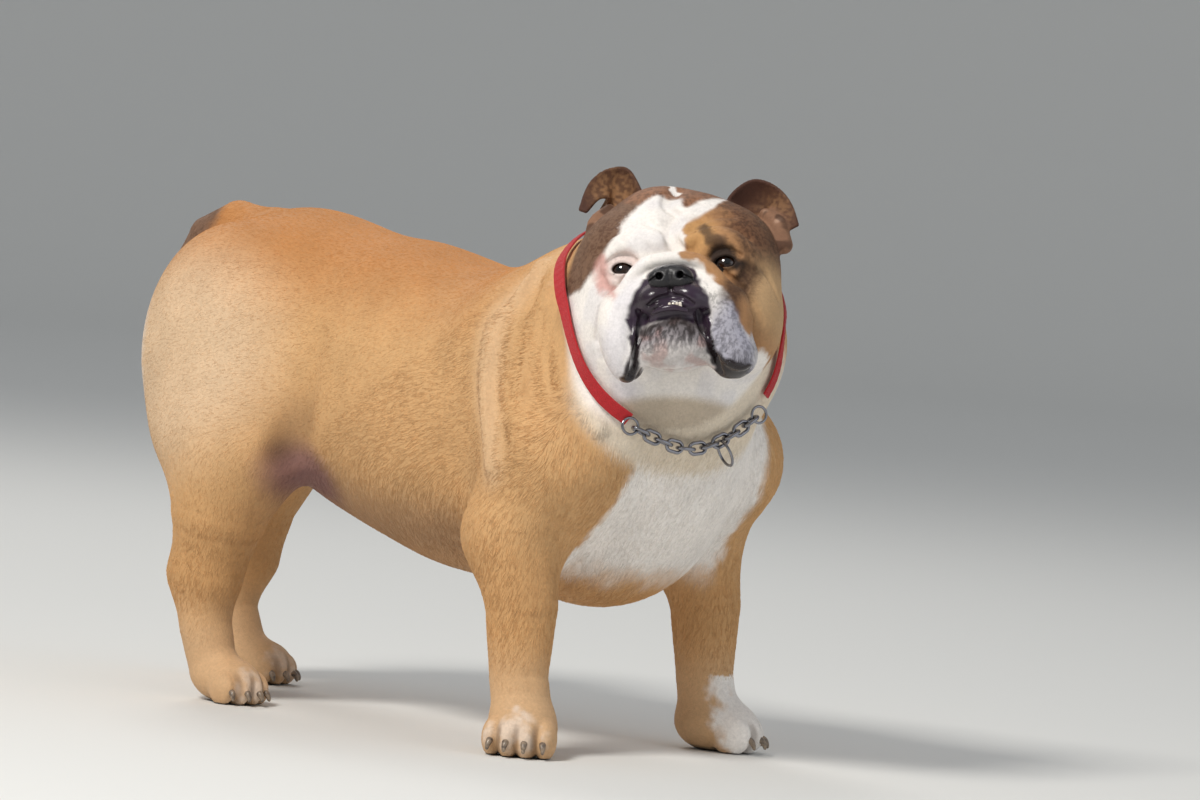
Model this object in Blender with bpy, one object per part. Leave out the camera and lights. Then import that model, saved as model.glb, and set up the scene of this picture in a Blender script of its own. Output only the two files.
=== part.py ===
"""English bulldog, a life-size museum-type model of the standing dog with its collar.

Right-handed, metres, +Z up. The dog looks towards -Y, and its left side is +X.
y = 0 is the line of the front legs and z = 0 the floor while the model is built.
At the end everything moves so that the bottom centre of its bounding box is the origin.

The flesh is one smooth field of blended balls and limbs, meshed region by region and
parted by thin flat cuts. Ears, nose leather, eyes, claws, teeth and collar are bodies
of their own, each with a narrow gap to its neighbour.
"""

import math

import bmesh
import bpy
import numpy as np

# Driving dimensions
GAP = 0.0004            # parting gap between neighbours
SKULL = (-0.0635, -0.061, 0.369)   # centre of the skull
HEAD_YAW, HEAD_PITCH, HEAD_LEAN = -60, -20, -9.5
WITHERS_RADIUS = 0.121  # half height of the rib cage
EYE_RADIUS = 0.0112
EYE_SPACING = 0.0785
EYE_DEPTH = -0.0410     # eye centre, ahead of the skull centre
NOSE_SPOT = (0.001, -0.0815, -0.0200)
EAR_WALL = 0.0036       # thickness of an ear flap
CLAW_BASE, CLAW_TIP = 0.0024, 0.0008
STRAP_WIDTH, STRAP_WALL, STRAP_LIFT = 0.0115, 0.0020, 0.0018
LINK_LENGTH, LINK_WIDTH, LINK_WIRE = 0.0165, 0.0115, 0.0029
LEAD_RING, END_RING, RING_WIRE = 0.0230, 0.0150, 0.0022
LEAD_LINK = 7           # the link that carries the larger ring
FLESH_VOXEL, HEAD_VOXEL, PAW_VOXEL, EAR_VOXEL = 0.0055, 0.0028, 0.0026, 0.0016
FAR = 1.0

for old in list(bpy.data.objects):
    bpy.data.objects.remove(old)


# Clay: a field of shapes that blend into one another
def turned(axis, degrees):
    """Rotation matrix about one axis."""
    cosine, sine = math.cos(math.radians(degrees)), math.sin(math.radians(degrees))
    first = "XYZ".index(axis)
    j, k = (first + 1) % 3, (first + 2) % 3
    matrix = np.eye(3)
    matrix[j, j] = matrix[k, k] = cosine
    matrix[j, k], matrix[k, j] = -sine, sine
    return matrix


def smooth_line(points, steps):
    """Rows of a smooth curve through rows of control values."""
    rows = np.array(points, float)
    rows = np.vstack([2 * rows[0] - rows[1], rows, 2 * rows[-1] - rows[-2]])
    out = []
    for a, b, c, d in zip(rows[:-3], rows[1:-2], rows[2:-1], rows[3:]):
        for t in np.arange(steps) / steps:
            linear, square = (c - a) * t, (2 * a - 5 * b + 4 * c - d) * t * t
            out.append(0.5 * (2 * b + linear + square + (3 * b - a - 3 * c + d) * t**3))
    out.append(rows[-2])
    return np.array(out)


class Place:
    """A frame in which shapes are given, each as (distance function, centre, reach)."""

    def __init__(self, origin=(0, 0, 0), turn=None):
        self.origin = np.array(origin, float)
        self.turn = np.eye(3) if turn is None else turn

    def at(self, points):
        return self.origin + np.array(points, float) @ self.turn.T

    def ball(self, centre, radii, turn=None):
        """Ellipsoid."""
        axes = self.turn if turn is None else self.turn @ turn
        middle = self.at(centre)
        radii = np.array(radii, float) * np.ones(3)

        def distance(points):
            local = (points - middle) @ axes
            k0 = np.sqrt(((local / radii) ** 2).sum(1))
            k1 = np.sqrt(((local / radii**2) ** 2).sum(1))
            return k0 * (k0 - 1) / np.maximum(k1, 1e-9)

        return distance, middle, radii.max()

    def limb(self, points, radii):
        """Chain of round-ended tapered rods."""
        line = self.at(points)
        radii = np.array(radii, float) * np.ones(len(line))
        middle = (line.min(0) + line.max(0)) / 2
        reach = np.linalg.norm(line.max(0) - line.min(0)) / 2 + radii.max()

        def distance(points):
            best = np.full(len(points), FAR)
            for a, b, ra, rb in zip(line[:-1], line[1:], radii[:-1], radii[1:]):
                along = np.clip((points - a) @ (b - a) / ((b - a) @ (b - a)), 0, 1)
                off = points - a - along[:, None] * (b - a)
                best = np.minimum(best, np.sqrt((off**2).sum(1)) - ra - along * (rb - ra))
            return best

        return distance, middle, reach

    def rope(self, points, radii, steps=4):
        """Limb along a smooth curve."""
        rows = np.column_stack([np.array(points, float), np.array(radii) * np.ones(len(points))])
        rows = smooth_line(rows, steps)
        return self.limb(rows[:, :3], rows[:, 3])

    def sheet(self, spine, across, widths, curl, wall, rows=64, columns=31):
        """Leaf of even thickness: a curved spine, a direction and a width across it at each
        control point, and a curl that bends the rims."""
        table = np.column_stack([spine, across, widths, curl])
        table = smooth_line(table, rows // (len(spine) - 1))
        centre, side, width, bend = table[:, :3], table[:, 3:6], table[:, 6], table[:, 7]
        side /= np.linalg.norm(side, axis=1)[:, None]
        run = np.gradient(centre, axis=0)
        face = np.cross(run, side)
        face /= np.linalg.norm(face, axis=1)[:, None]
        v = np.linspace(-1, 1, columns)[None, :, None]
        cloud = centre[:, None] + side[:, None] * width[:, None, None] * v / 2
        cloud = cloud + face[:, None] * bend[:, None, None] * v**2
        cloud = self.at(cloud.reshape(-1, 3))
        middle = (cloud.min(0) + cloud.max(0)) / 2
        reach = np.linalg.norm(cloud.max(0) - cloud.min(0)) / 2 + wall

        def distance(points):
            out = np.empty(len(points))
            for start in range(0, len(points), 4000):
                block = points[start : start + 4000]
                gaps = (block**2).sum(1)[:, None] + (cloud**2).sum(1)[None] - 2 * block @ cloud.T
                out[start : start + 4000] = np.sqrt(np.maximum(gaps.min(1), 0))
            return out - wall / 2

        return distance, middle, reach


class Clay:
    """Ordered list of shapes that are added to or carved from one field."""

    def __init__(self, *lots):
        self.steps = [step for lot in lots for step in lot.steps]

    def add(self, shape, blend=0.0):
        self.steps.append((1, shape, blend))

    def carve(self, shape, blend=0.0):
        self.steps.append((-1, shape, blend))

    def distance(self, points, margin=0.03):
        field = np.full(len(points), FAR)
        for sign, (shape, centre, reach), blend in self.steps:
            near = ((points - centre) ** 2).sum(1) < (reach + margin + blend) ** 2
            near = np.nonzero(near)[0]
            if not len(near):
                continue
            new, old = shape(points[near]), sign * field[near]
            if blend:
                mix = np.maximum(blend - np.abs(old - new), 0) / blend
                new = np.minimum(old, new) - mix * mix * blend / 4
            else:
                new = np.minimum(old, new)
            field[near] = sign * new
        return field

    def slope(self, points, reach=4e-4):
        shifted = [self.distance(points + np.eye(3)[i] * reach) for i in range(3)]
        return (np.stack(shifted, 1) - self.distance(points)[:, None]) / reach

    def settle(self, points, level=0.0, rounds=4):
        """Moves points along the slope to where the field has this value."""
        for _ in range(rounds):
            slope = self.slope(points)
            step = (self.distance(points) - level) / np.maximum((slope**2).sum(1), 0.25)
            points = points - slope * step[:, None]
        return points


    def roll(self, points, radii, depth, blend):
        """Adds a rope of skin whose line is laid on the surface, this deep."""
        self.add(BODY.rope(self.settle(np.array(points, float), -depth), radii), blend)

    def crease(self, points, radius, depth, blend):
        """Carves a groove whose line is laid on the surface, this deep."""
        self.carve(BODY.rope(self.settle(np.array(points, float), -depth), radius), blend)


def skin_of(clay, low, high, voxel, level=0.0, block=16):
    """Closed triangle skin of the clay inside a box. Each lattice cell is split into six
    tetrahedra, so the skin has no ambiguous places."""
    low, high = np.array(low, float), np.array(high, float)
    count = np.ceil((high - low) / voxel).astype(int) + 3
    low = low - voxel
    field = np.full(count, FAR)
    corners = [
        (i, j, k)
        for i in range(0, count[0], block)
        for j in range(0, count[1], block)
        for k in range(0, count[2], block)
    ]
    corners = np.array(corners)
    ends = np.minimum(corners + block, count)
    rough = clay.distance(low + (corners + ends - 1) / 2 * voxel, 0.15)
    half = block * voxel * 0.87
    for start, end, value in zip(corners, ends, rough):
        spot = tuple(slice(a, b) for a, b in zip(start, end))
        if value > 1.4 * half + 0.012:
            continue
        if value < -1.6 * half - 0.012:
            field[spot] = -FAR
            continue
        grid = np.meshgrid(*[np.arange(a, b) for a, b in zip(start, end)], indexing="ij")
        grid = np.stack(grid, -1).reshape(-1, 3)
        field[spot] = clay.distance(low + grid * voxel).reshape(end - start) - level
    for axis in range(3):
        rim = [slice(None)] * 3
        for rim[axis] in (0, -1):
            field[tuple(rim)] = np.maximum(field[tuple(rim)], voxel / 2)
    field = np.where(np.abs(field) < 1e-7, 1e-7, field)

    inside = field < 0
    nx, ny, nz = count - 1
    offsets = [(i, j, k) for i in (0, 1) for j in (0, 1) for k in (0, 1)]
    full = sum(inside[i : nx + i, j : ny + j, k : nz + k].astype(np.int8) for i, j, k in offsets)
    cells = np.argwhere((full > 0) & (full < 8))
    keys, outward = [], []
    for order in ((0, 1, 2), (0, 2, 1), (1, 0, 2), (1, 2, 0), (2, 0, 1), (2, 1, 0)):
        path = [np.zeros(3, int)]
        for axis in order:
            path.append(path[-1] + np.eye(3, dtype=int)[axis])
        state = sum(inside[tuple((cells + p).T)].astype(int) << n for n, p in enumerate(path))
        for case in range(1, 15):
            here = cells[state == case]
            within = [n for n in range(4) if case >> n & 1]
            without = [n for n in range(4) if not case >> n & 1]
            pairs = [(a, b) for a in within for b in without]
            if len(pairs) == 4:
                pairs = [pairs[0], pairs[1], pairs[3], pairs[2]]
            ring = []
            for pair in pairs:
                a, b = (path[n] for n in sorted(pair))
                direction = (b - a) @ (1, 2, 4)
                base = (here + a) @ (count[1] * count[2], count[2], 1)
                ring.append(base * 8 + direction)
            out = sum(path[n] for n in without) / len(without) - sum(path[n] for n in within) / len(within)
            for third in range(2, len(ring)):
                keys.append(np.stack([ring[0], ring[third - 1], ring[third]], 1))
                outward.append(np.tile(out, (len(here), 1)))
    names, faces = np.unique(np.vstack(keys), return_inverse=True)
    faces = faces.reshape(-1, 3)
    base, direction = names // 8, names % 8
    start = np.stack(np.unravel_index(base, count), 1)
    step = np.stack([direction & 1, direction >> 1 & 1, direction >> 2 & 1], 1)
    a, b = field[tuple(start.T)], field[tuple((start + step).T)]
    points = low + (start + np.clip(a / (a - b), 0.06, 0.94)[:, None] * step) * voxel
    corner = points[faces]
    facing = np.cross(corner[:, 1] - corner[:, 0], corner[:, 2] - corner[:, 0])
    turned_in = (facing * np.vstack(outward)).sum(1) < 0
    faces[turned_in] = faces[turned_in][:, ::-1]
    return points, faces


# Materials and meshes
def colour(name, rgb, rough, metal=0.0):
    made = bpy.data.materials.new(name)
    made.use_nodes = True
    shader = made.node_tree.nodes["Principled BSDF"]
    shader.inputs["Base Color"].default_value = (*rgb, 1)
    shader.inputs["Roughness"].default_value = rough
    shader.inputs["Metallic"].default_value = metal
    made.diffuse_color = (*rgb, 1)
    return made


FAWN = colour("fawn_coat", (0.62, 0.38, 0.18), 0.7)
WHITE = colour("white_coat", (0.86, 0.82, 0.76), 0.7)
CREAM = colour("cream_coat", (0.72, 0.55, 0.36), 0.7)
DARK_EAR = colour("dark_brown_ear", (0.14, 0.08, 0.055), 0.7)
STUB = colour("grey_brown_tail", (0.26, 0.18, 0.14), 0.7)
NOSE = colour("black_nose_leather", (0.025, 0.022, 0.026), 0.35)
EYE = colour("dark_brown_eye", (0.03, 0.015, 0.01), 0.08)
HORN = colour("dark_horn", (0.10, 0.085, 0.075), 0.45)
TOOTH = colour("tooth_ivory", (0.85, 0.78, 0.66), 0.3)
WEBBING = colour("red_webbing", (0.62, 0.02, 0.03), 0.6)
STEEL = colour("polished_steel", (0.62, 0.62, 0.64), 0.25, 1.0)


def mesh_object(name, points, faces, material=None):
    data = bpy.data.meshes.new(name)
    data.from_pydata(np.asarray(points).tolist(), [], [list(map(int, f)) for f in faces])
    data.validate()
    for face in data.polygons:
        face.use_smooth = True
    made = bpy.data.objects.new(name, data)
    bpy.context.scene.collection.objects.link(made)
    if material:
        data.materials.append(material)
    return made


def applied(obj):
    """Bakes the object's modifiers into its mesh."""
    graph = bpy.context.evaluated_depsgraph_get()
    baked = bpy.data.meshes.new_from_object(obj.evaluated_get(graph))
    old = obj.data
    obj.modifiers.clear()
    obj.data = baked
    bpy.data.meshes.remove(old)
    return obj


def thinned(obj, triangles):
    """Reduces the mesh to about this many triangles."""
    obj.data.calc_loop_triangles()
    have = len(obj.data.loop_triangles)
    if have > triangles:
        modifier = obj.modifiers.new("thin", "DECIMATE")
        modifier.ratio = triangles / have
        applied(obj)
    return obj


def sculpt(name, clay, low, high, voxel, triangles, material=None, level=0.0):
    """Mesh of the clay in a box, or of its offset by the level."""
    points, faces = skin_of(clay, low, high, voxel, level)
    return thinned(mesh_object(name, points, faces, material), triangles)


def cut(obj, outside=(), inside=(), solver="EXACT"):
    """Takes the outside cutters out of the object and keeps what lies in the inside ones."""
    for operation, cutters in (("INTERSECT", inside), ("DIFFERENCE", outside)):
        for cutter in cutters:
            modifier = obj.modifiers.new("cut", "BOOLEAN")
            modifier.operation = operation
            modifier.solver = solver
            modifier.object = cutter
    return applied(obj)


def keep_piece(obj, seed):
    """Keeps the loose piece that is nearest to the seed point and big enough to be it."""
    shape = bmesh.new()
    shape.from_mesh(obj.data)
    shape.verts.ensure_lookup_table()
    unseen, pieces = set(shape.verts), []
    while unseen:
        stack, piece = [unseen.pop()], []
        while stack:
            vert = stack.pop()
            piece.append(vert)
            for edge in vert.link_edges:
                other = edge.other_vert(vert)
                if other in unseen:
                    unseen.discard(other)
                    stack.append(other)
        pieces.append(piece)
    large = [piece for piece in pieces if len(piece) > 20]

    def away(piece):
        spots = np.array([vert.co[:] for vert in piece])
        return np.sort(np.linalg.norm(spots - np.array(seed), axis=1))[:12].mean()

    best = min(large, key=away)
    gone = [vert for piece in pieces if piece is not best for vert in piece]
    bmesh.ops.delete(shape, geom=gone, context="VERTS")
    bmesh.ops.triangulate(shape, faces=shape.faces[:])
    bmesh.ops.recalc_face_normals(shape, faces=shape.faces[:])
    shape.to_mesh(obj.data)
    shape.free()
    for face in obj.data.polygons:
        face.use_smooth = True
    return obj


def helper(obj):
    """Marks a cutter: it shapes others and isn't part of the model."""
    obj.hide_render = True
    obj.display_type = "WIRE"
    return obj


BOX_FACES = [(3, 2, 1, 0), (4, 5, 6, 7), (0, 1, 5, 4), (1, 2, 6, 5), (2, 3, 7, 6), (3, 0, 4, 7)]


def column(name, x, y, top, slope=(0, 0), bottom=-0.02):
    """Upright cutter with a sloping top that passes through the point `top`."""
    spots = []
    for level in ("low", "high"):
        for cx, cy in ((x[0], y[0]), (x[1], y[0]), (x[1], y[1]), (x[0], y[1])):
            height = top[2] + slope[0] * (cx - top[0]) + slope[1] * (cy - top[1])
            spots.append((cx, cy, bottom if level == "low" else height))
    return helper(mesh_object(name, spots, BOX_FACES))


def block(name, origin, normal, half, depth):
    """Box whose first face stands on the plane through origin, on the side of the normal."""
    normal = np.array(normal, float) / np.linalg.norm(normal)
    side = np.cross([0, 0, 1], normal)
    side /= np.linalg.norm(side)
    up = np.cross(normal, side)
    spots = [
        np.array(origin) + normal * along + half * (a * side + b * up)
        for along in (0, depth)
        for a, b in ((-1, -1), (1, -1), (1, 1), (-1, 1))
    ]
    return helper(mesh_object(name, spots, BOX_FACES))


def tube(name, rows, radii, sides, material, closed=False, flat=1.0, up=(0, 0, 1)):
    """Round rod along rows of points; closed makes a ring. flat squashes it across `up`."""
    rows = np.array(rows, float)
    radii = np.array(radii, float) * np.ones(len(rows))
    run = np.roll(rows, -1, 0) - np.roll(rows, 1, 0) if closed else np.gradient(rows, axis=0)
    run /= np.linalg.norm(run, axis=1)[:, None]
    side = np.cross(run, up)
    side /= np.linalg.norm(side, axis=1)[:, None]
    top = np.cross(side, run)
    turn = 2 * math.pi * np.arange(sides) / sides
    ring = np.cos(turn)[None, :, None] * side[:, None] + flat * np.sin(turn)[None, :, None] * top[:, None]
    points = (rows[:, None] + radii[:, None, None] * ring).reshape(-1, 3)
    n = len(rows)
    faces = []
    for i in range(n if closed else n - 1):
        for j in range(sides):
            a, b = i * sides + j, i * sides + (j + 1) % sides
            c, d = (i + 1) % n * sides + (j + 1) % sides, (i + 1) % n * sides + j
            faces.append((a, b, c, d))
    if not closed:
        faces += [tuple(range(sides))[::-1], tuple(range((n - 1) * sides, n * sides))]
    made = mesh_object(name, points, faces, material)
    shape = bmesh.new()
    shape.from_mesh(made.data)
    bmesh.ops.recalc_face_normals(shape, faces=shape.faces[:])
    shape.to_mesh(made.data)
    shape.free()
    return made


def sphere(name, centre, radius, material=None, segments=16, rings=10):
    made = mesh_object(name, [(0, 0, 0)], [], material)
    shape = bmesh.new()
    bmesh.ops.create_uvsphere(shape, u_segments=segments, v_segments=rings, radius=radius)
    bmesh.ops.translate(shape, verts=shape.verts, vec=tuple(centre))
    shape.to_mesh(made.data)
    shape.free()
    for face in made.data.polygons:
        face.use_smooth = True
    return made


def swollen(obj, amount):
    """Cutter: a copy of the object, larger by this much all round."""
    data = obj.data.copy()
    data.update()
    normals = np.array([vert.normal[:] for vert in data.vertices])
    spots = np.array([vert.co[:] for vert in data.vertices]) + amount * normals
    data.vertices.foreach_set("co", spots.astype(np.float32).ravel())
    data.update()
    made = bpy.data.objects.new(obj.name + "_room", data)
    bpy.context.scene.collection.objects.link(made)
    return helper(made)


# The dog's masses
BODY = Place()
HEAD = Place(SKULL, turned("Z", HEAD_YAW) @ turned("X", HEAD_PITCH) @ turned("Y", HEAD_LEAN))
FORE_FEET = {"right": (-0.122, 0.009, -58), "left": (0.117, 0.020, 32)}
HIND_FEET = {"right": (-0.093, 0.350, -8), "left": (0.081, 0.480, 8)}
SIDES = {"right": -1, "left": 1}


def trunk():
    """Rib cage, loin, rump, breast and neck."""
    clay = Clay()
    clay.add(BODY.ball((0, 0.145, 0.242), (0.130, 0.180, WITHERS_RADIUS)))
    clay.add(BODY.ball((0, 0.270, 0.270), (0.108, 0.140, 0.1130)), 0.035)
    clay.add(BODY.ball((0, 0.378, 0.309), (0.098, 0.097, 0.090)), 0.04)
    clay.add(BODY.ball((0, 0.050, 0.210), (0.112, 0.080, 0.100)), 0.04)
    clay.add(BODY.ball((-0.010, 0.025, 0.262), (0.100, 0.075, 0.085)), 0.04)
    clay.add(
        BODY.limb(
            [(0, 0.105, 0.281), (-0.015, 0.050, 0.312), (-0.042, -0.015, 0.335)],
            [0.085, 0.089, 0.083],
        ),
        0.04,
    )
    clay.add(BODY.limb([(-0.005, 0.020, 0.250), (-0.045, -0.040, 0.302)], [0.075, 0.062]), 0.04)
    clay.add(BODY.limb([(0.018, 0.030, 0.300), (0.004, -0.035, 0.325)], [0.066, 0.060]), 0.04)
    return clay


def fore_leg(side):
    """Shoulder blade, upper arm and forearm."""
    clay, i = Clay(), SIDES[side]
    x, y, _ = FORE_FEET[side]
    back = 0.0 if side == "right" else 0.014
    clay.add(
        BODY.limb([(i * 0.070, 0.092 + back, 0.305), (i * 0.104, 0.018 + back, 0.235)], [0.048, 0.050]),
        0.035,
    )
    clay.add(
        BODY.limb([(i * 0.106, 0.010 + back, 0.225), (i * 0.117, 0.044 + back, 0.168)], [0.045, 0.036]),
        0.03,
    )
    wrist = [(x, y + 0.010, 0.060), (x, y + 0.004, 0.035)]
    arm = [(i * 0.119, 0.038 + back, 0.165), (i * 0.120, 0.024 + back, 0.115), *wrist]
    clay.add(BODY.limb(arm, [0.0355, 0.0295, 0.0240, 0.0235]), 0.022)
    return clay


def hind_leg(side):
    """Thigh, second thigh, hock and pastern."""
    clay = Clay()
    if side == "right":
        clay.add(BODY.ball((-0.078, 0.394, 0.277), (0.050, 0.082, 0.100)), 0.04)
        clay.add(BODY.ball((-0.092, 0.370, 0.215), (0.042, 0.070, 0.065)), 0.03)
        clay.add(
            BODY.limb(
                [(-0.095, 0.360, 0.200), (-0.097, 0.368, 0.150), (-0.097, 0.376, 0.105)],
                [0.049, 0.040, 0.030],
            ),
            0.025,
        )
        clay.add(
            BODY.limb(
                [(-0.097, 0.380, 0.098), (-0.096, 0.374, 0.060), (-0.094, 0.364, 0.026)],
                [0.0275, 0.0225, 0.0195],
            ),
            0.016,
        )
    else:
        clay.add(BODY.ball((0.078, 0.397, 0.277), (0.050, 0.080, 0.100)), 0.04)
        clay.add(BODY.ball((0.084, 0.440, 0.240), (0.040, 0.055, 0.050)), 0.03)
        clay.add(
            BODY.limb(
                [(0.087, 0.462, 0.214), (0.086, 0.495, 0.152), (0.086, 0.503, 0.105)],
                [0.043, 0.035, 0.028],
            ),
            0.025,
        )
        clay.add(
            BODY.limb(
                [(0.086, 0.508, 0.098), (0.084, 0.512, 0.060), (0.082, 0.494, 0.026)],
                [0.0260, 0.0215, 0.0195],
            ),
            0.016,
        )
    return clay


def toes_of(size):
    """Toe spots in the foot's own frame: two short outer ones and two long inner ones."""
    return [(i * x * size, y * size) for i in (-1, 1) for x, y in ((0.0205, -0.0205), (0.0072, -0.0275))]


def foot_frame(x, y, turn):
    return Place((x, y, 0), turned("Z", turn))


def paw(x, y, turn, size):
    clay, foot = Clay(), foot_frame(x, y, turn)
    clay.add(
        foot.ball((0, -0.006 * size, 0.020 * size), (0.027 * size, 0.034 * size, 0.0225 * size)),
        0.012,
    )
    for tx, ty in toes_of(size):
        clay.add(foot.ball((tx, ty, 0.0140 * size), (0.0092 * size, 0.0160 * size, 0.0160 * size)), 0.004)
    return clay


def skin_folds(clay):
    """Loose rolls of skin behind the shoulder and on the neck."""
    behind = [
        (-0.072, 0.074, 0.372), (-0.098, 0.072, 0.350), (-0.117, 0.074, 0.318), (-0.134, 0.060, 0.270),
        (-0.148, 0.038, 0.220),
    ]
    clay.roll(behind, [0.004, 0.006, 0.0065, 0.0065, 0.004], 0.002, 0.010)
    before = [
        (-0.098, 0.024, 0.369), (-0.104, 0.040, 0.348), (-0.112, 0.044, 0.330), (-0.137, 0.027, 0.277),
    ]
    clay.roll(before, [0.004, 0.006, 0.006, 0.004], 0.002, 0.010)
    neck = [
        (-0.118, 0.016, 0.356), (-0.130, 0.006, 0.318), (-0.128, -0.010, 0.285),
        (-0.116, -0.030, 0.255),
    ]
    clay.roll(neck, [0.004, 0.006, 0.006, 0.004], 0.002, 0.010)


def face():
    """Skull, cheeks, muzzle, hanging lips, chin, folds, eye sockets and mouth."""
    clay = Clay()
    clay.add(HEAD.ball((0.000, 0.014, 0.018), (0.067, 0.066, 0.0620)), 0.03)
    clay.add(HEAD.ball((-0.020, 0.012, 0.060), (0.026, 0.034, 0.0205)), 0.02)
    for i in (-1, 1):
        clay.add(HEAD.ball((i * 0.047, -0.004, -0.026), (0.031, 0.043, 0.047)), 0.022)
        clay.add(HEAD.ball((i * 0.044, 0.000, 0.025 - i * 0.002), (0.028, 0.042, 0.031)), 0.02)
        clay.add(HEAD.ball((i * 0.029, -0.038, 0.018), (0.022, 0.014, 0.014)), 0.015)
    clay.add(HEAD.ball((0.001, -0.0455, -0.026), (0.042, 0.034, 0.028)), 0.015)
    clay.add(HEAD.ball((0.001, -0.062, -0.036), (0.029, 0.022, 0.018)), 0.008)
    clay.add(HEAD.ball((0.001, -0.058, -0.064), (0.0285, 0.0230, 0.0200)), 0.007)
    for i in (-1, 1):
        lean = turned("Y", i * 9)
        clay.add(HEAD.ball((i * 0.030, -0.054, -0.034), (0.021, 0.022, 0.019)), 0.010)
        clay.add(HEAD.ball((i * 0.0415, -0.047, -0.0545), (0.0180, 0.028, 0.0370), lean), 0.009)
    clay.add(HEAD.ball((0.047, -0.050, -0.077), (0.0150, 0.020, 0.0130), turned("Y", -14)), 0.014)
    # fold that arches over the nose and runs down on to each lip
    arch = [
        (-0.043, -0.058, -0.034), (-0.034, -0.065, -0.018), (-0.019, -0.0695, -0.0045),
        (0.001, -0.0710, -0.002),
    ]
    arch += [(0.002 - x, y, z) for x, y, z in arch[-2::-1]]
    clay.add(HEAD.rope(arch, [0.004, 0.0055, 0.006, 0.006, 0.006, 0.0055, 0.004]), 0.004)
    over = [(x * 1.15, y + 0.008, z + 0.0095) for x, y, z in arch]
    clay.crease(HEAD.at(over), 0.0026, 0.0005, 0.005)
    # furrow of the forehead, folds over and below the eyes, gap beside the chin
    furrow = [(0.002, -0.058, 0.016), (-0.004, -0.055, 0.036), (-0.004, -0.044, 0.056), (0, -0.020, 0.070)]
    clay.crease(HEAD.at(furrow), 0.0026, 0.0002, 0.009)
    for i in (-1, 1):
        brow = [
            (i * 0.012, -0.058, 0.020), (i * 0.028, -0.058, 0.024), (i * 0.044, -0.050, 0.018),
            (i * 0.056, -0.036, 0.006),
        ]
        clay.roll(HEAD.at(brow), 0.0065, 0.002, 0.008)
        below = [
            (i * 0.030, -0.060, -0.009), (i * 0.043, -0.056, -0.021), (i * 0.057, -0.046, -0.040),
            (i * 0.063, -0.034, -0.062), (i * 0.062, -0.026, -0.082),
        ]
        clay.crease(HEAD.at(below), 0.0030, 0.0008, 0.006)
        beside = [
            (i * 0.0235, -0.080, -0.050), (i * 0.0265, -0.078, -0.064), (i * 0.029, -0.070, -0.080),
            (i * 0.031, -0.056, -0.092),
        ]
        clay.crease(HEAD.at(beside), 0.0026, 0.0015, 0.003)
    mouth = [
        (-0.024, -0.083, -0.050), (-0.013, -0.087, -0.0425), (0.001, -0.0885, -0.0405),
        (0.014, -0.087, -0.0435), (0.026, -0.083, -0.051),
    ]
    clay.crease(HEAD.at(mouth), 0.0021, 0.001, 0.002)
    clay.crease(HEAD.at([(0.001, -0.0900, -0.026), (0, -0.0890, -0.040)]), 0.0010, 0.0, 0.003)
    for i in (-1, 1):
        eye = (i * EYE_SPACING / 2, EYE_DEPTH, 0)
        clay.add(HEAD.ball(eye, EYE_RADIUS + 0.0032), 0.006)
        clay.carve(HEAD.ball((eye[0], eye[1] - 0.012, -0.0005), (0.0080, 0.0070, 0.0048)), 0.002)
    return clay


def ear(side):
    """Rose ear: a cupped flap that rises, folds over and ends in a point, over a rolled burr."""
    clay = Clay()
    if side == "right":
        hand = -1
        spine = [
            (-0.044, 0.018, 0.056), (-0.047, 0.019, 0.076), (-0.0530, 0.014, 0.0925),
            (-0.0665, 0.006, 0.0845),
        ]
        spine += [(-0.0750, 0.000, 0.0680)]
        across = [
            (-0.85, 0.3, -0.45), (-0.85, 0.3, -0.45), (-0.50, 0.2, -0.86), (0.65, 0.1, -0.7),
            (0.9, 0, -0.4),
        ]
        burr = [(-0.066, 0.004, 0.038), (-0.0655, 0.002, 0.056), (-0.056, 0.010, 0.070)]
    else:
        hand = 1
        spine = [
            (0.050, 0.018, 0.046), (0.054, 0.019, 0.064), (0.0665, 0.014, 0.0735),
            (0.0800, 0.006, 0.0610),
        ]
        spine += [(0.0880, 0.000, 0.0435)]
        across = [
            (0.85, 0.3, -0.5), (0.82, 0.3, -0.57), (0.35, 0.2, -0.93), (-0.50, 0.1, -0.86),
            (-0.9, 0, -0.4),
        ]
        burr = [(0.079, 0.004, 0.030), (0.0745, 0.002, 0.046), (0.065, 0.010, 0.058)]
    widths = [0.044, 0.041, 0.0290, 0.0130, 0.0045]
    curl = [-hand * bend for bend in (0.009, 0.008, 0.005, 0.001, 0)]
    clay.add(HEAD.sheet(spine, across, widths, curl, EAR_WALL))
    clay.add(HEAD.rope(burr, [0.0075, 0.0075, 0.0055]), 0.004)
    root = (spine[0][0], 0.024, spine[0][2] + 0.004)
    clay.add(HEAD.ball(root, (0.018, 0.014, 0.019)), 0.006)
    return clay


def nose():
    """Nose leather with two open nostrils."""
    clay = Clay()
    x, y, z = NOSE_SPOT
    clay.add(HEAD.ball((x, y + 0.004, z), (0.0175, 0.0095, 0.0095)))
    for i in (-1, 1):
        clay.add(HEAD.ball((x + i * 0.0095, y + 0.001, z - 0.001), (0.0085, 0.0075, 0.0085)), 0.004)
    clay.add(HEAD.ball((x, y + 0.004, z + 0.0045), (0.012, 0.008, 0.0055)), 0.004)
    for i in (-1, 1):
        hole = [(x + i * 0.0085, y - 0.007, z - 0.0010), (x + i * 0.0100, y + 0.001, z + 0.0010)]
        clay.carve(HEAD.limb(hole, [0.0028, 0.0022]), 0.0015)
        clay.carve(
            HEAD.limb(
                [(x + i * 0.0110, y - 0.006, z - 0.002), (x + i * 0.0165, y + 0.001, z - 0.003)],
                0.0014,
            ),
            0.001,
        )
    clay.carve(HEAD.limb([(x, y - 0.0070, z + 0.002), (x, y - 0.004, z - 0.012)], 0.0012), 0.002)
    return clay


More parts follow.
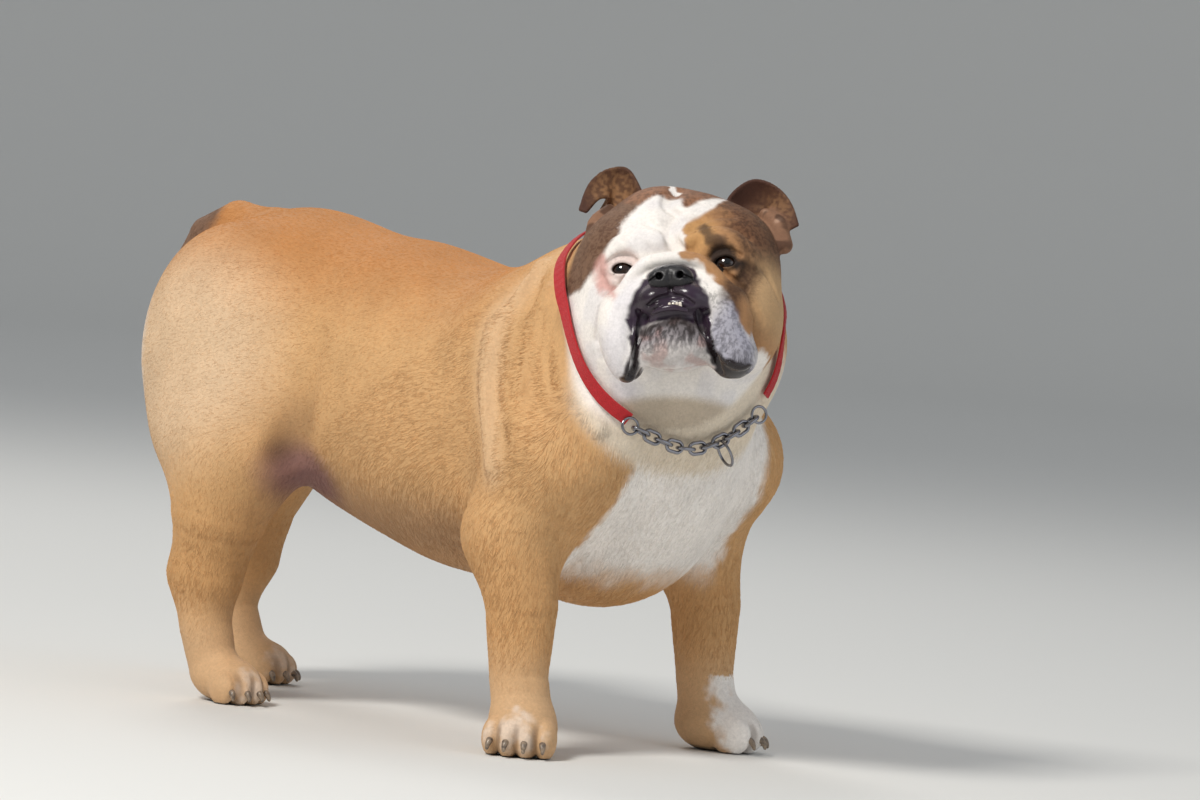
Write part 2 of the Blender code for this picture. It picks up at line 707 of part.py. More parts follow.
def tail():
    clay = Clay()
    clay.add(
        BODY.limb(
            [(0, 0.432, 0.366), (0, 0.462, 0.376), (-0.006, 0.490, 0.366), (-0.010, 0.503, 0.350)],
            [0.028, 0.0225, 0.0175, 0.0120],
        ),
        0.02,
    )
    return clay


FLESH = trunk()
for side in SIDES:
    FLESH = Clay(FLESH, fore_leg(side), hind_leg(side))
FLESH = Clay(FLESH, tail())
skin_folds(FLESH)
for side in SIDES:
    FLESH = Clay(FLESH, paw(*FORE_FEET[side], 1.0), paw(*HIND_FEET[side], 0.86))
WHOLE = Clay(FLESH, face())


# Parting volumes between the flesh regions
def with_room(cutter):
    """The cutter itself and a slightly larger one for the neighbour."""
    return cutter, swollen(cutter, 1.8 * GAP)


NAPE = with_room(block("cut_nape", HEAD.at((0.004, 0.044, -0.020)), (-0.72, -0.60, 0.34), 0.3, 0.4))
THROAT = with_room(block("cut_neck", (-0.005, 0.038, 0.312), (0, -0.70, 0.72), 0.4, 0.5))
STUB_ROOT = with_room(block("cut_tail", (0, 0.458, 0.371), (0, 0.93, 0.36), 0.029, 0.10))
LEGS, FEET = {}, {}
for side, i in SIDES.items():
    x, y, _ = FORE_FEET[side]
    wide = sorted((i * 0.076, i * 0.20))
    LEGS["fore" + side] = with_room(
        column("cut_fore_" + side, wide, (-0.08, 0.12), (i * 0.122, y + 0.030, 0.150), (i * 0.5, 0)),
    )
    FEET["fore" + side] = with_room(
        column(
            "cut_forepaw_" + side, (x - 0.07, x + 0.07), (y - 0.07, y + 0.07), (x, y, 0.038),
            bottom=0.0,
        ),
    )
    x, y, _ = HIND_FEET[side]
    wide = sorted((i * 0.026, i * 0.18))
    knee = (i * 0.09, 0.362, 0.178) if side == "right" else (i * 0.09, 0.446, 0.182)
    LEGS["hind" + side] = with_room(
        column("cut_hind_" + side, wide, (knee[1] - 0.08, 0.62), knee, (0, 0.5)),
    )
    FEET["hind" + side] = with_room(
        column(
            "cut_hindpaw_" + side, (x - 0.06, x + 0.06), (y - 0.06, y + 0.07), (x, y, 0.034),
            bottom=0.0,
        ),
    )


def region(name, low, high, voxel, triangles, material, seed, inside=(), outside=()):
    made = sculpt(name, WHOLE, low, high, voxel, triangles, material)
    return keep_piece(cut(made, outside, inside), seed)


NODES = {}
NODES["torso"] = region(
    "torso", (-0.19, -0.10, 0.09), (0.19, 0.50, 0.45), FLESH_VOXEL, 3000, FAWN, (0, 0.22, 0.38),
    outside=[THROAT[1], STUB_ROOT[1]] + [room for _, room in LEGS.values()],
)
NODES["neck"] = region(
    "neck", (-0.19, -0.20, 0.17), (0.17, 0.17, 0.46), 0.0045, 2600, FAWN, (-0.02, 0.05, 0.40),
    inside=[THROAT[0]], outside=[NAPE[1]],
)
NODES["head"] = region(
    "head", (-0.21, -0.21, 0.21), (0.08, 0.06, 0.47), HEAD_VOXEL, 2900, WHITE,
    HEAD.at((0, -0.06, 0.01)), inside=[NAPE[0], THROAT[0]],
)
NODES["tail"] = region(
    "tail", (-0.05, 0.41, 0.32), (0.05, 0.54, 0.42), 0.004, 420, STUB, (-0.010, 0.512, 0.350),
    inside=[STUB_ROOT[0]],
)
for side, i in SIDES.items():
    x0, x1 = sorted((i * 0.066, i * 0.19))
    NODES["foreleg_" + side] = region(
        "foreleg_" + side, (x0, -0.045, 0.026), (x1, 0.115, 0.195), FLESH_VOXEL, 620, FAWN,
        (i * 0.12, 0.03, 0.09), inside=[LEGS["fore" + side][0]], outside=[FEET["fore" + side][1]],
    )
    x0, x1 = sorted((i * 0.022, i * 0.165))
    y0, y1 = (0.27, 0.49) if side == "right" else (0.33, 0.58)
    NODES["hindleg_" + side] = region(
        "hindleg_" + side, (x0, y0, 0.022), (x1, y1, 0.255), FLESH_VOXEL, 820, FAWN,
        (i * 0.09, y0 + 0.13, 0.10), inside=[LEGS["hind" + side][0]], outside=[FEET["hind" + side][1]],
    )
    for kind, spot, size in (("fore", FORE_FEET[side], 1.0), ("hind", HIND_FEET[side], 0.86)):
        x, y, turn = spot
        low, high = (x - 0.06, y - 0.065, -0.006), (x + 0.06, y + 0.06, 0.058)
        white = (kind, side) == ("fore", "left")
        made = sculpt(
            kind + "paw_" + side, WHOLE, low, high, PAW_VOXEL, 330 if kind == "fore" else 290,
            WHITE if white else CREAM,
        )
        claws = []
        for number, (tx, ty) in enumerate(sorted(toes_of(size)), 1):
            knuckle = (tx, ty - 0.0150 * size, 0.0120 * size)
            bend = (tx * 1.04, ty - 0.0190 * size, 0.0082 * size)
            tip = (tx * 1.06, ty - 0.0208 * size, 0.0034 * size)
            rows = [(tx, ty - 0.007 * size, 0.0130 * size), knuckle, bend, tip]
            radii = [CLAW_BASE, CLAW_BASE, CLAW_BASE * 0.7, CLAW_TIP]
            name = "claw_%s_%s_%d" % (kind, side, number)
            claws.append(tube(name, foot_frame(x, y, turn).at(rows), radii, 6, HORN, up=(0.3, 0.2, 1)))
            NODES[name] = claws[-1]
        rooms = [swollen(claw, GAP) for claw in claws]
        NODES[made.name] = keep_piece(cut(made, rooms, [FEET[kind + side][0]]), (x, y - 0.01, 0.01))

# Eyes, nose leather, teeth and ears
fitted = []
for side, i in SIDES.items():
    fitted.append(sphere("eye_" + side, HEAD.at((i * EYE_SPACING / 2, EYE_DEPTH, 0)), EYE_RADIUS, EYE))
low, high = np.array(HEAD.at(NOSE_SPOT)) - 0.026, np.array(HEAD.at(NOSE_SPOT)) + 0.026
fitted.append(sculpt("nose", nose(), low, high, 0.0011, 460, NOSE))
teeth = [(-0.0005, -0.0825, -0.0420), (0.004, -0.0832, -0.0425), (0.0085, -0.0825, -0.0440)]
fitted.append(tube("teeth", HEAD.at(teeth), [0.0014, 0.0018, 0.0014], 8, TOOTH))
rooms = [swollen(piece, GAP) for piece in fitted]
for side, i in SIDES.items():
    spot = HEAD.at((i * 0.064, 0.008, 0.062))
    low, high = spot - 0.056, spot + 0.056
    fitted.append(sculpt("ear_" + side, ear(side), low, high, EAR_VOXEL, 640, DARK_EAR))
    rooms.append(helper(sculpt("ear_room_" + side, ear(side), low, high, EAR_VOXEL, 640, None, 2.5 * GAP)))
for piece in fitted:
    NODES[piece.name] = piece
cut(NODES["head"], rooms, solver="MANIFOLD")
cut(NODES["neck"], rooms[-2:], solver="MANIFOLD")
keep_piece(NODES["neck"], (-0.02, 0.05, 0.40))
keep_piece(NODES["head"], HEAD.at((0, -0.03, 0.06)))


# Collar: a webbing strap round the nape and a steel chain across the throat
def laid(points, level, steps=8):
    """Smooth line that lies this high above the skin, and the outward direction along it."""
    rows = WHOLE.settle(smooth_line(points, steps), level)
    out = WHOLE.slope(rows)
    return rows, out / np.linalg.norm(out, axis=1)[:, None]


def spaced(rows, count):
    """Points at even distances along the rows."""
    runs = np.concatenate([[0], np.cumsum(np.linalg.norm(np.diff(rows, axis=0), axis=1))])
    marks = np.linspace(0, runs[-1], count)
    return np.stack([np.interp(marks, runs, rows[:, axis]) for axis in range(3)], 1), runs[-1]


def strap(name, points, material):
    """Band that follows the smoothed slope of the neck, lifted until neither edge sinks into it."""
    rows, _ = spaced(laid(points, STRAP_LIFT)[0], 40)
    for turn in range(6):
        out = WHOLE.slope(rows)
        for _ in range(3):
            out[1:-1] = (out[:-2] + 2 * out[1:-1] + out[2:]) / 4
        out /= np.linalg.norm(out, axis=1)[:, None]
        run = np.gradient(rows, axis=0)
        run /= np.linalg.norm(run, axis=1)[:, None]
        side = np.cross(run, out)
        side /= np.linalg.norm(side, axis=1)[:, None]
        lines = [rows + side * i * STRAP_WIDTH / 2 for i in (-1, -0.5, 0, 0.5, 1)]
        room = np.min([WHOLE.distance(line) for line in lines], axis=0)
        rows = rows + out * np.maximum(STRAP_LIFT - room, 0)[:, None]
        if turn < 4:
            rows[1:-1] = (rows[:-2] + 2 * rows[1:-1] + rows[2:]) / 4
    edges = [rows + side * i * STRAP_WIDTH / 2 for i in (-1, 1)]
    spots = [edges[0], edges[1], edges[1] + out * STRAP_WALL, edges[0] + out * STRAP_WALL]
    spots = np.stack(spots, 1).reshape(-1, 3)
    n = len(rows)
    faces = [
        (4 * i + j, 4 * i + (j + 1) % 4, 4 * i + 4 + (j + 1) % 4, 4 * i + 4 + j)
        for i in range(n - 1) for j in range(4)
    ]
    faces += [(3, 2, 1, 0), (4 * n - 4, 4 * n - 3, 4 * n - 2, 4 * n - 1)]
    made = mesh_object(name, spots, faces, material)
    shape = bmesh.new()
    shape.from_mesh(made.data)
    bmesh.ops.recalc_face_normals(shape, faces=shape.faces[:])
    shape.to_mesh(made.data)
    shape.free()
    return made


def link(name, centre, along, across, length, width, wire, points=10):
    """One rounded chain link lying in the plane of its two directions."""
    reach, half = (length - wire) / 2, (width - wire) / 2
    turn = 2 * math.pi * (np.arange(points) + 0.5) / points
    x = half * np.cos(turn) + np.sign(np.cos(turn)) * (reach - half)
    rows = centre + x[:, None] * along + half * np.sin(turn)[:, None] * across
    return tube(name, rows, wire / 2, 6, STEEL, closed=True, up=np.cross(along, across))


THROAT_LINE = [
    (-0.0957, -0.0605, 0.2620), (-0.0868, -0.0678, 0.2569), (-0.0595, -0.0807, 0.2518),
    (-0.0262, -0.0962, 0.2686),
]
THROAT_LINE += [(-0.0140, -0.1000, 0.2785)]
NAPE_LINE = [(0.0020, -0.1045, 0.2985), (0.0100, -0.1060, 0.3150)]
NAPE_LINE += [
    HEAD.at(p)
    for p in (
        (0.080, 0.036, -0.035), (0.078, 0.058, 0.000), (0.062, 0.080, 0.030), (0.020, 0.092, 0.045),
        (-0.035, 0.080, 0.050), (-0.072, 0.040, 0.035),
    )
]
NAPE_LINE += [
    (-0.1250, 0.0000, 0.3490), (-0.1310, -0.0176, 0.3202), (-0.1235, -0.0296, 0.2908),
    (-0.1100, -0.0480, 0.2720),
]
NODES["collar_strap"] = strap("collar_strap", NAPE_LINE, WEBBING)
PITCH = LINK_LENGTH - 2 * LINK_WIRE - 0.0007
line, _ = laid(THROAT_LINE, 0.0068)
_, length = spaced(line, 2)
count = int(length / PITCH) + 1
line = spaced(line, 200)[0][: int(200 * (count - 1) * PITCH / length)]
line, _ = spaced(line, count)
line, out = laid(line, 0.0068, 1)
run = np.gradient(line, axis=0)
run /= np.linalg.norm(run, axis=1)[:, None]
for number in range(count):
    side = np.cross(run[number], out[number])
    side /= np.linalg.norm(side)
    top = np.cross(side, run[number])
    angle = math.radians(45 if number % 2 else -45)
    across = math.cos(angle) * side + math.sin(angle) * top
    through = np.cross(run[number], across)
    name = "chain_link_%02d" % (number + 1)
    NODES[name] = link(name, line[number], run[number], across, LINK_LENGTH, LINK_WIDTH, LINK_WIRE)
    if number == LEAD_LINK:
        ring = line[number] + across * (LEAD_RING - RING_WIRE) / 2
        NODES["lead_ring"] = link("lead_ring", ring, through, across, LEAD_RING, LEAD_RING, RING_WIRE, 20)
    for end, last in ((-1, 0), (1, count - 1)):
        if number == last:
            name = "end_ring_near" if end < 0 else "end_ring_far"
            ring = line[number] + end * run[number] * (0.0030 + (END_RING - RING_WIRE) / 2)
            NODES[name] = link(name, ring, run[number], through, END_RING, END_RING, RING_WIRE, 14)

# Everything moves so that the bottom centre of the bounding box is the origin
bpy.context.view_layer.update()
spots = np.vstack([np.array([vert.co[:] for vert in node.data.vertices]) for node in NODES.values()])
low, high = spots.min(0), spots.max(0)
shift = np.array([-(low[0] + high[0]) / 2, -(low[1] + high[1]) / 2, -low[2]])
for obj in bpy.data.objects:
    for vert in obj.data.vertices:
        vert.co += type(vert.co)(shift)
print("shift", shift.round(5), "size", (high - low).round(4))
for name, node in NODES.items():
    print(name, len(node.data.polygons))
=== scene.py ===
# %% [markdown]
# # A standing bulldog, as a lesson in cells
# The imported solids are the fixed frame: they give the size, the stance and the names of the parts.
# This script dresses them. It makes one seamless skin from blended masses, lays a short coat on it,
# and gives eyes, nose, teeth, claws and collar their own finish.

# %% Load the frame
import math

import bpy
import mathutils
import numpy as np
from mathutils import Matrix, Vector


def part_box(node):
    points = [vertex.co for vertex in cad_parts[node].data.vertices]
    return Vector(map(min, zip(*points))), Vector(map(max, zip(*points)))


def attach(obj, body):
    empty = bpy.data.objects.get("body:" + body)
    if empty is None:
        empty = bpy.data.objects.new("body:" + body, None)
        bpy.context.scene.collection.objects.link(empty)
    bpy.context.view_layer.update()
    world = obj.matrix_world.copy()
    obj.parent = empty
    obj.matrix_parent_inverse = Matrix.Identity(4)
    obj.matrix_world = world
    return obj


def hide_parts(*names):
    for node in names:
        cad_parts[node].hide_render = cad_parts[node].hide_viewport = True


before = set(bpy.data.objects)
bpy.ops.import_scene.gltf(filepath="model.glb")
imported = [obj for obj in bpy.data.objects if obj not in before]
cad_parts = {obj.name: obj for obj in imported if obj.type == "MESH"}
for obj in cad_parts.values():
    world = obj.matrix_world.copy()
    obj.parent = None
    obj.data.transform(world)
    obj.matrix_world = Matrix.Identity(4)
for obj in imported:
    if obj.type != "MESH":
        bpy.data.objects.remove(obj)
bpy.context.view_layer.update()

scene = bpy.context.scene

# %% [markdown]
# ## One coordinate system
# A dog is easiest to think about with the front feet on y = 0 and the floor at z = 0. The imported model
# has its origin at the bottom centre of its box instead, so a single shift leads from one to the other.
# It could be typed in, but it is safer to work it out from two nodes whose places are named sizes: the
# eyes sit at a known spot of the head.

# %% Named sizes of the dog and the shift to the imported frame
SKULL = (-0.0635, -0.061, 0.369)
HEAD_YAW, HEAD_PITCH, HEAD_LEAN = -60, -20, -9.5
WITHERS_RADIUS = 0.121
EYE_RADIUS, EYE_SPACING, EYE_DEPTH = 0.0112, 0.0785, -0.041
NOSE_SPOT = (0.001, -0.0815, -0.02)
EAR_WALL = 0.0036
FORE_FEET = {"right": (-0.122, 0.009, -58), "left": (0.117, 0.02, 32)}
HIND_FEET = {"right": (-0.093, 0.35, -8), "left": (0.081, 0.48, 8)}
FORE_SIZE, HIND_SIZE = 1.0, 0.86
SIDES = {"right": -1, "left": 1}
NOSE_FOLD = [
    (-0.043, -0.058, -0.034), (-0.034, -0.065, -0.018), (-0.019, -0.0695, -0.0045),
    (0.001, -0.071, -0.002),
]
NOSE_FOLD += [(0.002 - x, y, z) for x, y, z in NOSE_FOLD[-2::-1]]
COAT_DEPTH, FACE_DEPTH = 0.0015, 0.0006
BODY_HAIR, FACE_HAIR = 0.0095, 0.0042
FLANK_LINE = [
    (-0.106, 0.297, 0.205), (-0.1064, 0.285, 0.2343), (-0.1101, 0.2763, 0.2664),
    (-0.1052, 0.2759, 0.2983),
]
FAR = 1.0


def turned(axis, degrees):
    """Rotation matrix about one axis."""
    cosine, sine = math.cos(math.radians(degrees)), math.sin(math.radians(degrees))
    first = "XYZ".index(axis)
    j, k = (first + 1) % 3, (first + 2) % 3
    matrix = np.eye(3)
    matrix[j, j] = matrix[k, k] = cosine
    matrix[j, k], matrix[k, j] = -sine, sine
    return matrix


HEAD_TURN = turned("Z", HEAD_YAW) @ turned("X", HEAD_PITCH) @ turned("Y", HEAD_LEAN)
middles = [np.array(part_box("eye_" + side)).mean(0) for side in SIDES]
told = [np.array(SKULL) + HEAD_TURN @ (i * EYE_SPACING / 2, EYE_DEPTH, 0) for i in SIDES.values()]
SHIFT = np.mean(np.array(middles) - np.array(told), axis=0)
SHIFT[2] = 0
print("shift", SHIFT.round(5))

# %% [markdown]
# ## Soft shapes
# Muscle and loose skin have no edges, so they are described as a field: a function that is negative
# inside the animal and positive outside. A ball or a tapered rod is one short formula, and where two
# meet, a smooth minimum lets them flow into each other as clay does. Sculpting by hand would also work,
# but a field can be measured anywhere, which the coat and the markings need later.


# %% Shapes in a frame of their own
def smooth_line(points, steps):
    """Rows of a smooth curve through rows of control values."""
    rows = np.array(points, float)
    rows = np.vstack([2 * rows[0] - rows[1], rows, 2 * rows[-1] - rows[-2]])
    out = []
    for a, b, c, d in zip(rows[:-3], rows[1:-2], rows[2:-1], rows[3:]):
        for t in np.arange(steps) / steps:
            linear, square = (c - a) * t, (2 * a - 5 * b + 4 * c - d) * t * t
            out.append(0.5 * (2 * b + linear + square + (3 * b - a - 3 * c + d) * t**3))
    out.append(rows[-2])
    return np.array(out)


class Place:
    """A frame in which shapes are given, each as a function that measures the distance to it."""

    def __init__(self, origin=(0, 0, 0), turn=None):
        self.origin = np.array(origin, float)
        self.turn = np.eye(3) if turn is None else turn

    def at(self, points):
        return self.origin + np.array(points, float) @ self.turn.T

    def local(self, points):
        return (points - self.origin) @ self.turn

    def ball(self, centre, radii, turn=None):
        axes = self.turn if turn is None else self.turn @ turn
        middle = self.at(centre)
        radii = np.array(radii, float) * np.ones(3)

        def distance(points):
            local = (points - middle) @ axes
            k0 = np.sqrt(((local / radii) ** 2).sum(1))
            k1 = np.sqrt(((local / radii**2) ** 2).sum(1))
            return k0 * (k0 - 1) / np.maximum(k1, 1e-9)

        return distance

    def limb(self, points, radii):
        line = self.at(points)
        radii = np.array(radii, float) * np.ones(len(line))
        middle = (line.min(0) + line.max(0)) / 2
        start, run = line[:-1] - middle, np.diff(line, axis=0)
        long, base, grow = (run**2).sum(1), (start * run).sum(1), np.diff(radii)
        square = (start**2).sum(1)

        def distance(points):
            spots = points - middle
            ahead = spots @ run.T - base
            along = np.clip(ahead / long, 0, 1)
            off = (spots**2).sum(1)[:, None] - 2 * spots @ start.T + square
            off += along * (along * long - 2 * ahead)
            return (np.sqrt(np.maximum(off, 0)) - radii[:-1] - along * grow).min(1)

        return distance

    def rope(self, points, radii, steps=4):
        rows = np.column_stack([np.array(points, float), np.array(radii) * np.ones(len(points))])
        rows = smooth_line(rows, steps)
        return self.limb(rows[:, :3], rows[:, 3])

    def sheet(self, spine, across, widths, curl, wall, rows=64, columns=31):
        """Leaf of even thickness: a curved spine, with a direction, a width and a curl across it."""
        table = np.column_stack([spine, across, widths, curl])
        table = smooth_line(table, rows // (len(spine) - 1))
        centre, side, width, bend = table[:, :3], table[:, 3:6], table[:, 6], table[:, 7]
        side /= np.linalg.norm(side, axis=1)[:, None]
        face = np.cross(np.gradient(centre, axis=0), side)
        face /= np.linalg.norm(face, axis=1)[:, None]
        v = np.linspace(-1, 1, columns)[None, :, None]
        cloud = centre[:, None] + side[:, None] * width[:, None, None] * v / 2
        cloud = cloud + face[:, None] * bend[:, None, None] * v**2
        cloud = self.at(cloud.reshape(-1, 3))

        def distance(points):
            out = np.empty(len(points))
            for start in range(0, len(points), 4000):
                block = points[start : start + 4000]
                gaps = (block**2).sum(1)[:, None] + (cloud**2).sum(1)[None] - 2 * block @ cloud.T
                out[start : start + 4000] = np.sqrt(np.maximum(gaps.min(1), 0))
            return out - wall / 2

        return distance


# %% Clay: a list of shapes that are added or carved in turn
class Clay:
    def __init__(self, *lots):
        self.steps = [step for lot in lots for step in lot.steps]

    def add(self, shape, blend=0.0):
        self.steps.append((1, shape, blend))

    def carve(self, shape, blend=0.0):
        self.steps.append((-1, shape, blend))

    def felt(self, centres, radii):
        """Which shapes can be felt in balls round the centres: one row a shape, one column a ball."""
        later, rows = 0.0, []
        for _, shape, blend in reversed(self.steps):
            later = max(later, blend)
            rows.append(shape(centres) < 1.3 * radii + later + blend + 0.006)
        return np.array(rows[::-1])

    def only(self, kept):
        clay = Clay()
        clay.steps = [step for step, is_kept in zip(self.steps, kept) if is_kept]
        return clay

    def distance(self, points):
        field = np.full(len(points), FAR)
        for sign, shape, blend in self.steps:
            new, old = shape(points), sign * field
            if blend:
                mix = np.maximum(blend - np.abs(old - new), 0) / blend
                new = np.minimum(old, new) - mix * mix * blend / 4
            else:
                new = np.minimum(old, new)
            field = sign * new
        return field

    def by_cells(self, points, work, size=0.03):
        """Runs work(clay, points) cell by cell, so that each cell meets only its own shapes."""
        cells = np.floor(points / size).astype(int)
        _, owner = np.unique(cells, axis=0, return_inverse=True)
        order = np.argsort(owner.ravel(), kind="stable")
        parts = np.split(order, np.nonzero(np.diff(owner.ravel()[order]))[0] + 1)
        middles = np.array([(points[part].min(0) + points[part].max(0)) / 2 for part in parts])
        felt = self.felt(middles, size * 0.9)
        out = None
        for number, part in enumerate(parts):
            spots = points[part]
            done = work(self.only(felt[:, number]), spots)
            if out is None:
                out = np.empty((len(points),) + done.shape[1:])
            out[part] = done
        return out

    def slope(self, points, reach=4e-4):
        def work(clay, spots):
            base = clay.distance(spots)
            return np.stack([clay.distance(spots + np.eye(3)[i] * reach) - base for i in range(3)], 1) / reach

        return self.by_cells(points, work)

    def settle(self, points, level=0.0, rounds=4):
        """Moves points along the slope to where the field has this value."""

        def work(clay, spots):
            for _ in range(rounds):
                base = clay.distance(spots)
                slope = [clay.distance(spots + np.eye(3)[i] * 4e-4) - base for i in range(3)]
                slope = np.stack(slope, 1) / 4e-4
                spots = spots - slope * ((base - level) / np.maximum((slope**2).sum(1), 0.25))[:, None]
            return spots

        return self.by_cells(points, work)

    def roll(self, points, radii, depth, blend):
        self.add(BODY.rope(self.settle(np.array(points, float), -depth), radii), blend)

    def crease(self, points, radius, depth, blend):
        self.carve(BODY.rope(self.settle(np.array(points, float), -depth), radius), blend)


BODY = Place()
HEAD = Place(SKULL, HEAD_TURN)
print("eye distance", round(float(np.linalg.norm(told[0] - told[1])) * 1000, 1), "mm")

# %% [markdown]
# ## The masses
# A bulldog is a barrel between four short posts: a deep rib cage, a lower waist that rises to the
# rump, wide shoulders, and a neck almost as thick as the skull. Each mass is one ball or rod at its
# anatomical place, which keeps every measure readable. The solids were made from the same masses.


# %% Trunk and legs
def trunk():
    """Rib cage, loin, rump, breast and neck."""
    clay = Clay()
    clay.add(BODY.ball((0, 0.145, 0.242), (0.13, 0.18, WITHERS_RADIUS)))
    clay.add(BODY.ball((0, 0.27, 0.27), (0.108, 0.14, 0.113)), 0.035)
    clay.add(BODY.ball((0, 0.378, 0.309), (0.098, 0.097, 0.09)), 0.04)
    clay.add(BODY.ball((0, 0.05, 0.21), (0.112, 0.08, 0.1)), 0.04)
    clay.add(BODY.ball((-0.01, 0.025, 0.262), (0.1, 0.075, 0.085)), 0.04)
    neck = [(0, 0.105, 0.281), (-0.015, 0.05, 0.312), (-0.042, -0.015, 0.335)]
    clay.add(BODY.limb(neck, [0.085, 0.089, 0.083]), 0.04)
    clay.add(BODY.limb([(-0.005, 0.02, 0.25), (-0.045, -0.04, 0.302)], [0.075, 0.062]), 0.04)
    clay.add(BODY.limb([(0.018, 0.03, 0.3), (0.004, -0.035, 0.325)], [0.066, 0.06]), 0.04)
    return clay


def fore_leg(side):
    """Shoulder blade, upper arm and forearm."""
    clay, i = Clay(), SIDES[side]
    x, y, _ = FORE_FEET[side]
    back = 0.0 if side == "right" else 0.014
    blade = [(i * 0.07, 0.092 + back, 0.305), (i * 0.104, 0.018 + back, 0.235)]
    clay.add(BODY.limb(blade, [0.048, 0.05]), 0.035)
    upper = [(i * 0.106, 0.01 + back, 0.225), (i * 0.117, 0.044 + back, 0.168)]
    clay.add(BODY.limb(upper, [0.045, 0.036]), 0.03)
    wrist = [(x, y + 0.01, 0.06), (x, y + 0.004, 0.035)]
    arm = [(i * 0.119, 0.038 + back, 0.165), (i * 0.12, 0.024 + back, 0.115), *wrist]
    clay.add(BODY.limb(arm, [0.0355, 0.0295, 0.024, 0.0235]), 0.022)
    return clay


def hind_leg(side):
    """Thigh, second thigh, hock and pastern."""
    clay = Clay()
    if side == "right":
        clay.add(BODY.ball((-0.078, 0.394, 0.277), (0.05, 0.082, 0.1)), 0.04)
        clay.add(BODY.ball((-0.092, 0.37, 0.215), (0.042, 0.07, 0.065)), 0.03)
        shin = [(-0.095, 0.36, 0.2), (-0.097, 0.368, 0.15), (-0.097, 0.376, 0.105)]
        clay.add(BODY.limb(shin, [0.049, 0.04, 0.03]), 0.025)
        hock = [(-0.097, 0.38, 0.098), (-0.096, 0.374, 0.06), (-0.094, 0.364, 0.026)]
        clay.add(BODY.limb(hock, [0.0275, 0.0225, 0.0195]), 0.016)
    else:
        clay.add(BODY.ball((0.078, 0.397, 0.277), (0.05, 0.08, 0.1)), 0.04)
        clay.add(BODY.ball((0.084, 0.44, 0.24), (0.04, 0.055, 0.05)), 0.03)
        shin = [(0.087, 0.462, 0.214), (0.086, 0.495, 0.152), (0.086, 0.503, 0.105)]
        clay.add(BODY.limb(shin, [0.043, 0.035, 0.028]), 0.025)
        hock = [(0.086, 0.508, 0.098), (0.084, 0.512, 0.06), (0.082, 0.494, 0.026)]
        clay.add(BODY.limb(hock, [0.026, 0.0215, 0.0195]), 0.016)
    return clay


print(len(trunk().steps), "shapes in the trunk,", len(hind_leg("right").steps), "in a hind leg")


# %% Paws
def toes_of(size):
    """Toe spots in the foot's own frame: two short outer ones and two long inner ones."""
    return [(i * x * size, y * size) for i in (-1, 1) for x, y in ((0.0205, -0.0205), (0.0072, -0.0275))]


def foot_frame(x, y, turn):
    return Place((x, y, 0), turned("Z", turn))


def paw(x, y, turn, size):
    clay, foot = Clay(), foot_frame(x, y, turn)
    clay.add(foot.ball((0, -0.006 * size, 0.02 * size), (0.027 * size, 0.034 * size, 0.0225 * size)), 0.012)
    for tx, ty in toes_of(size):
        clay.add(foot.ball((tx, ty, 0.014 * size), (0.0092 * size, 0.016 * size, 0.016 * size)), 0.004)
    return clay


print(len(paw(0, 0, 0, 1.0).steps), "shapes in a paw")


# %% Folds of loose skin
def skin_folds(clay):
    """Loose rolls of skin behind the shoulder and on the neck."""
    behind = [
        (-0.072, 0.074, 0.372), (-0.098, 0.072, 0.35), (-0.117, 0.074, 0.318), (-0.134, 0.06, 0.27),
        (-0.148, 0.038, 0.22),
    ]
    clay.roll(behind, [0.004, 0.006, 0.0065, 0.0065, 0.004], 0.002, 0.01)
    before = [(-0.098, 0.024, 0.369), (-0.104, 0.04, 0.348), (-0.112, 0.044, 0.33), (-0.137, 0.027, 0.277)]
    clay.roll(before, [0.004, 0.006, 0.006, 0.004], 0.002, 0.01)
    neck = [(-0.118, 0.016, 0.356), (-0.13, 0.006, 0.318), (-0.128, -0.01, 0.285), (-0.116, -0.03, 0.255)]
    clay.roll(neck, [0.004, 0.006, 0.006, 0.004], 0.002, 0.01)


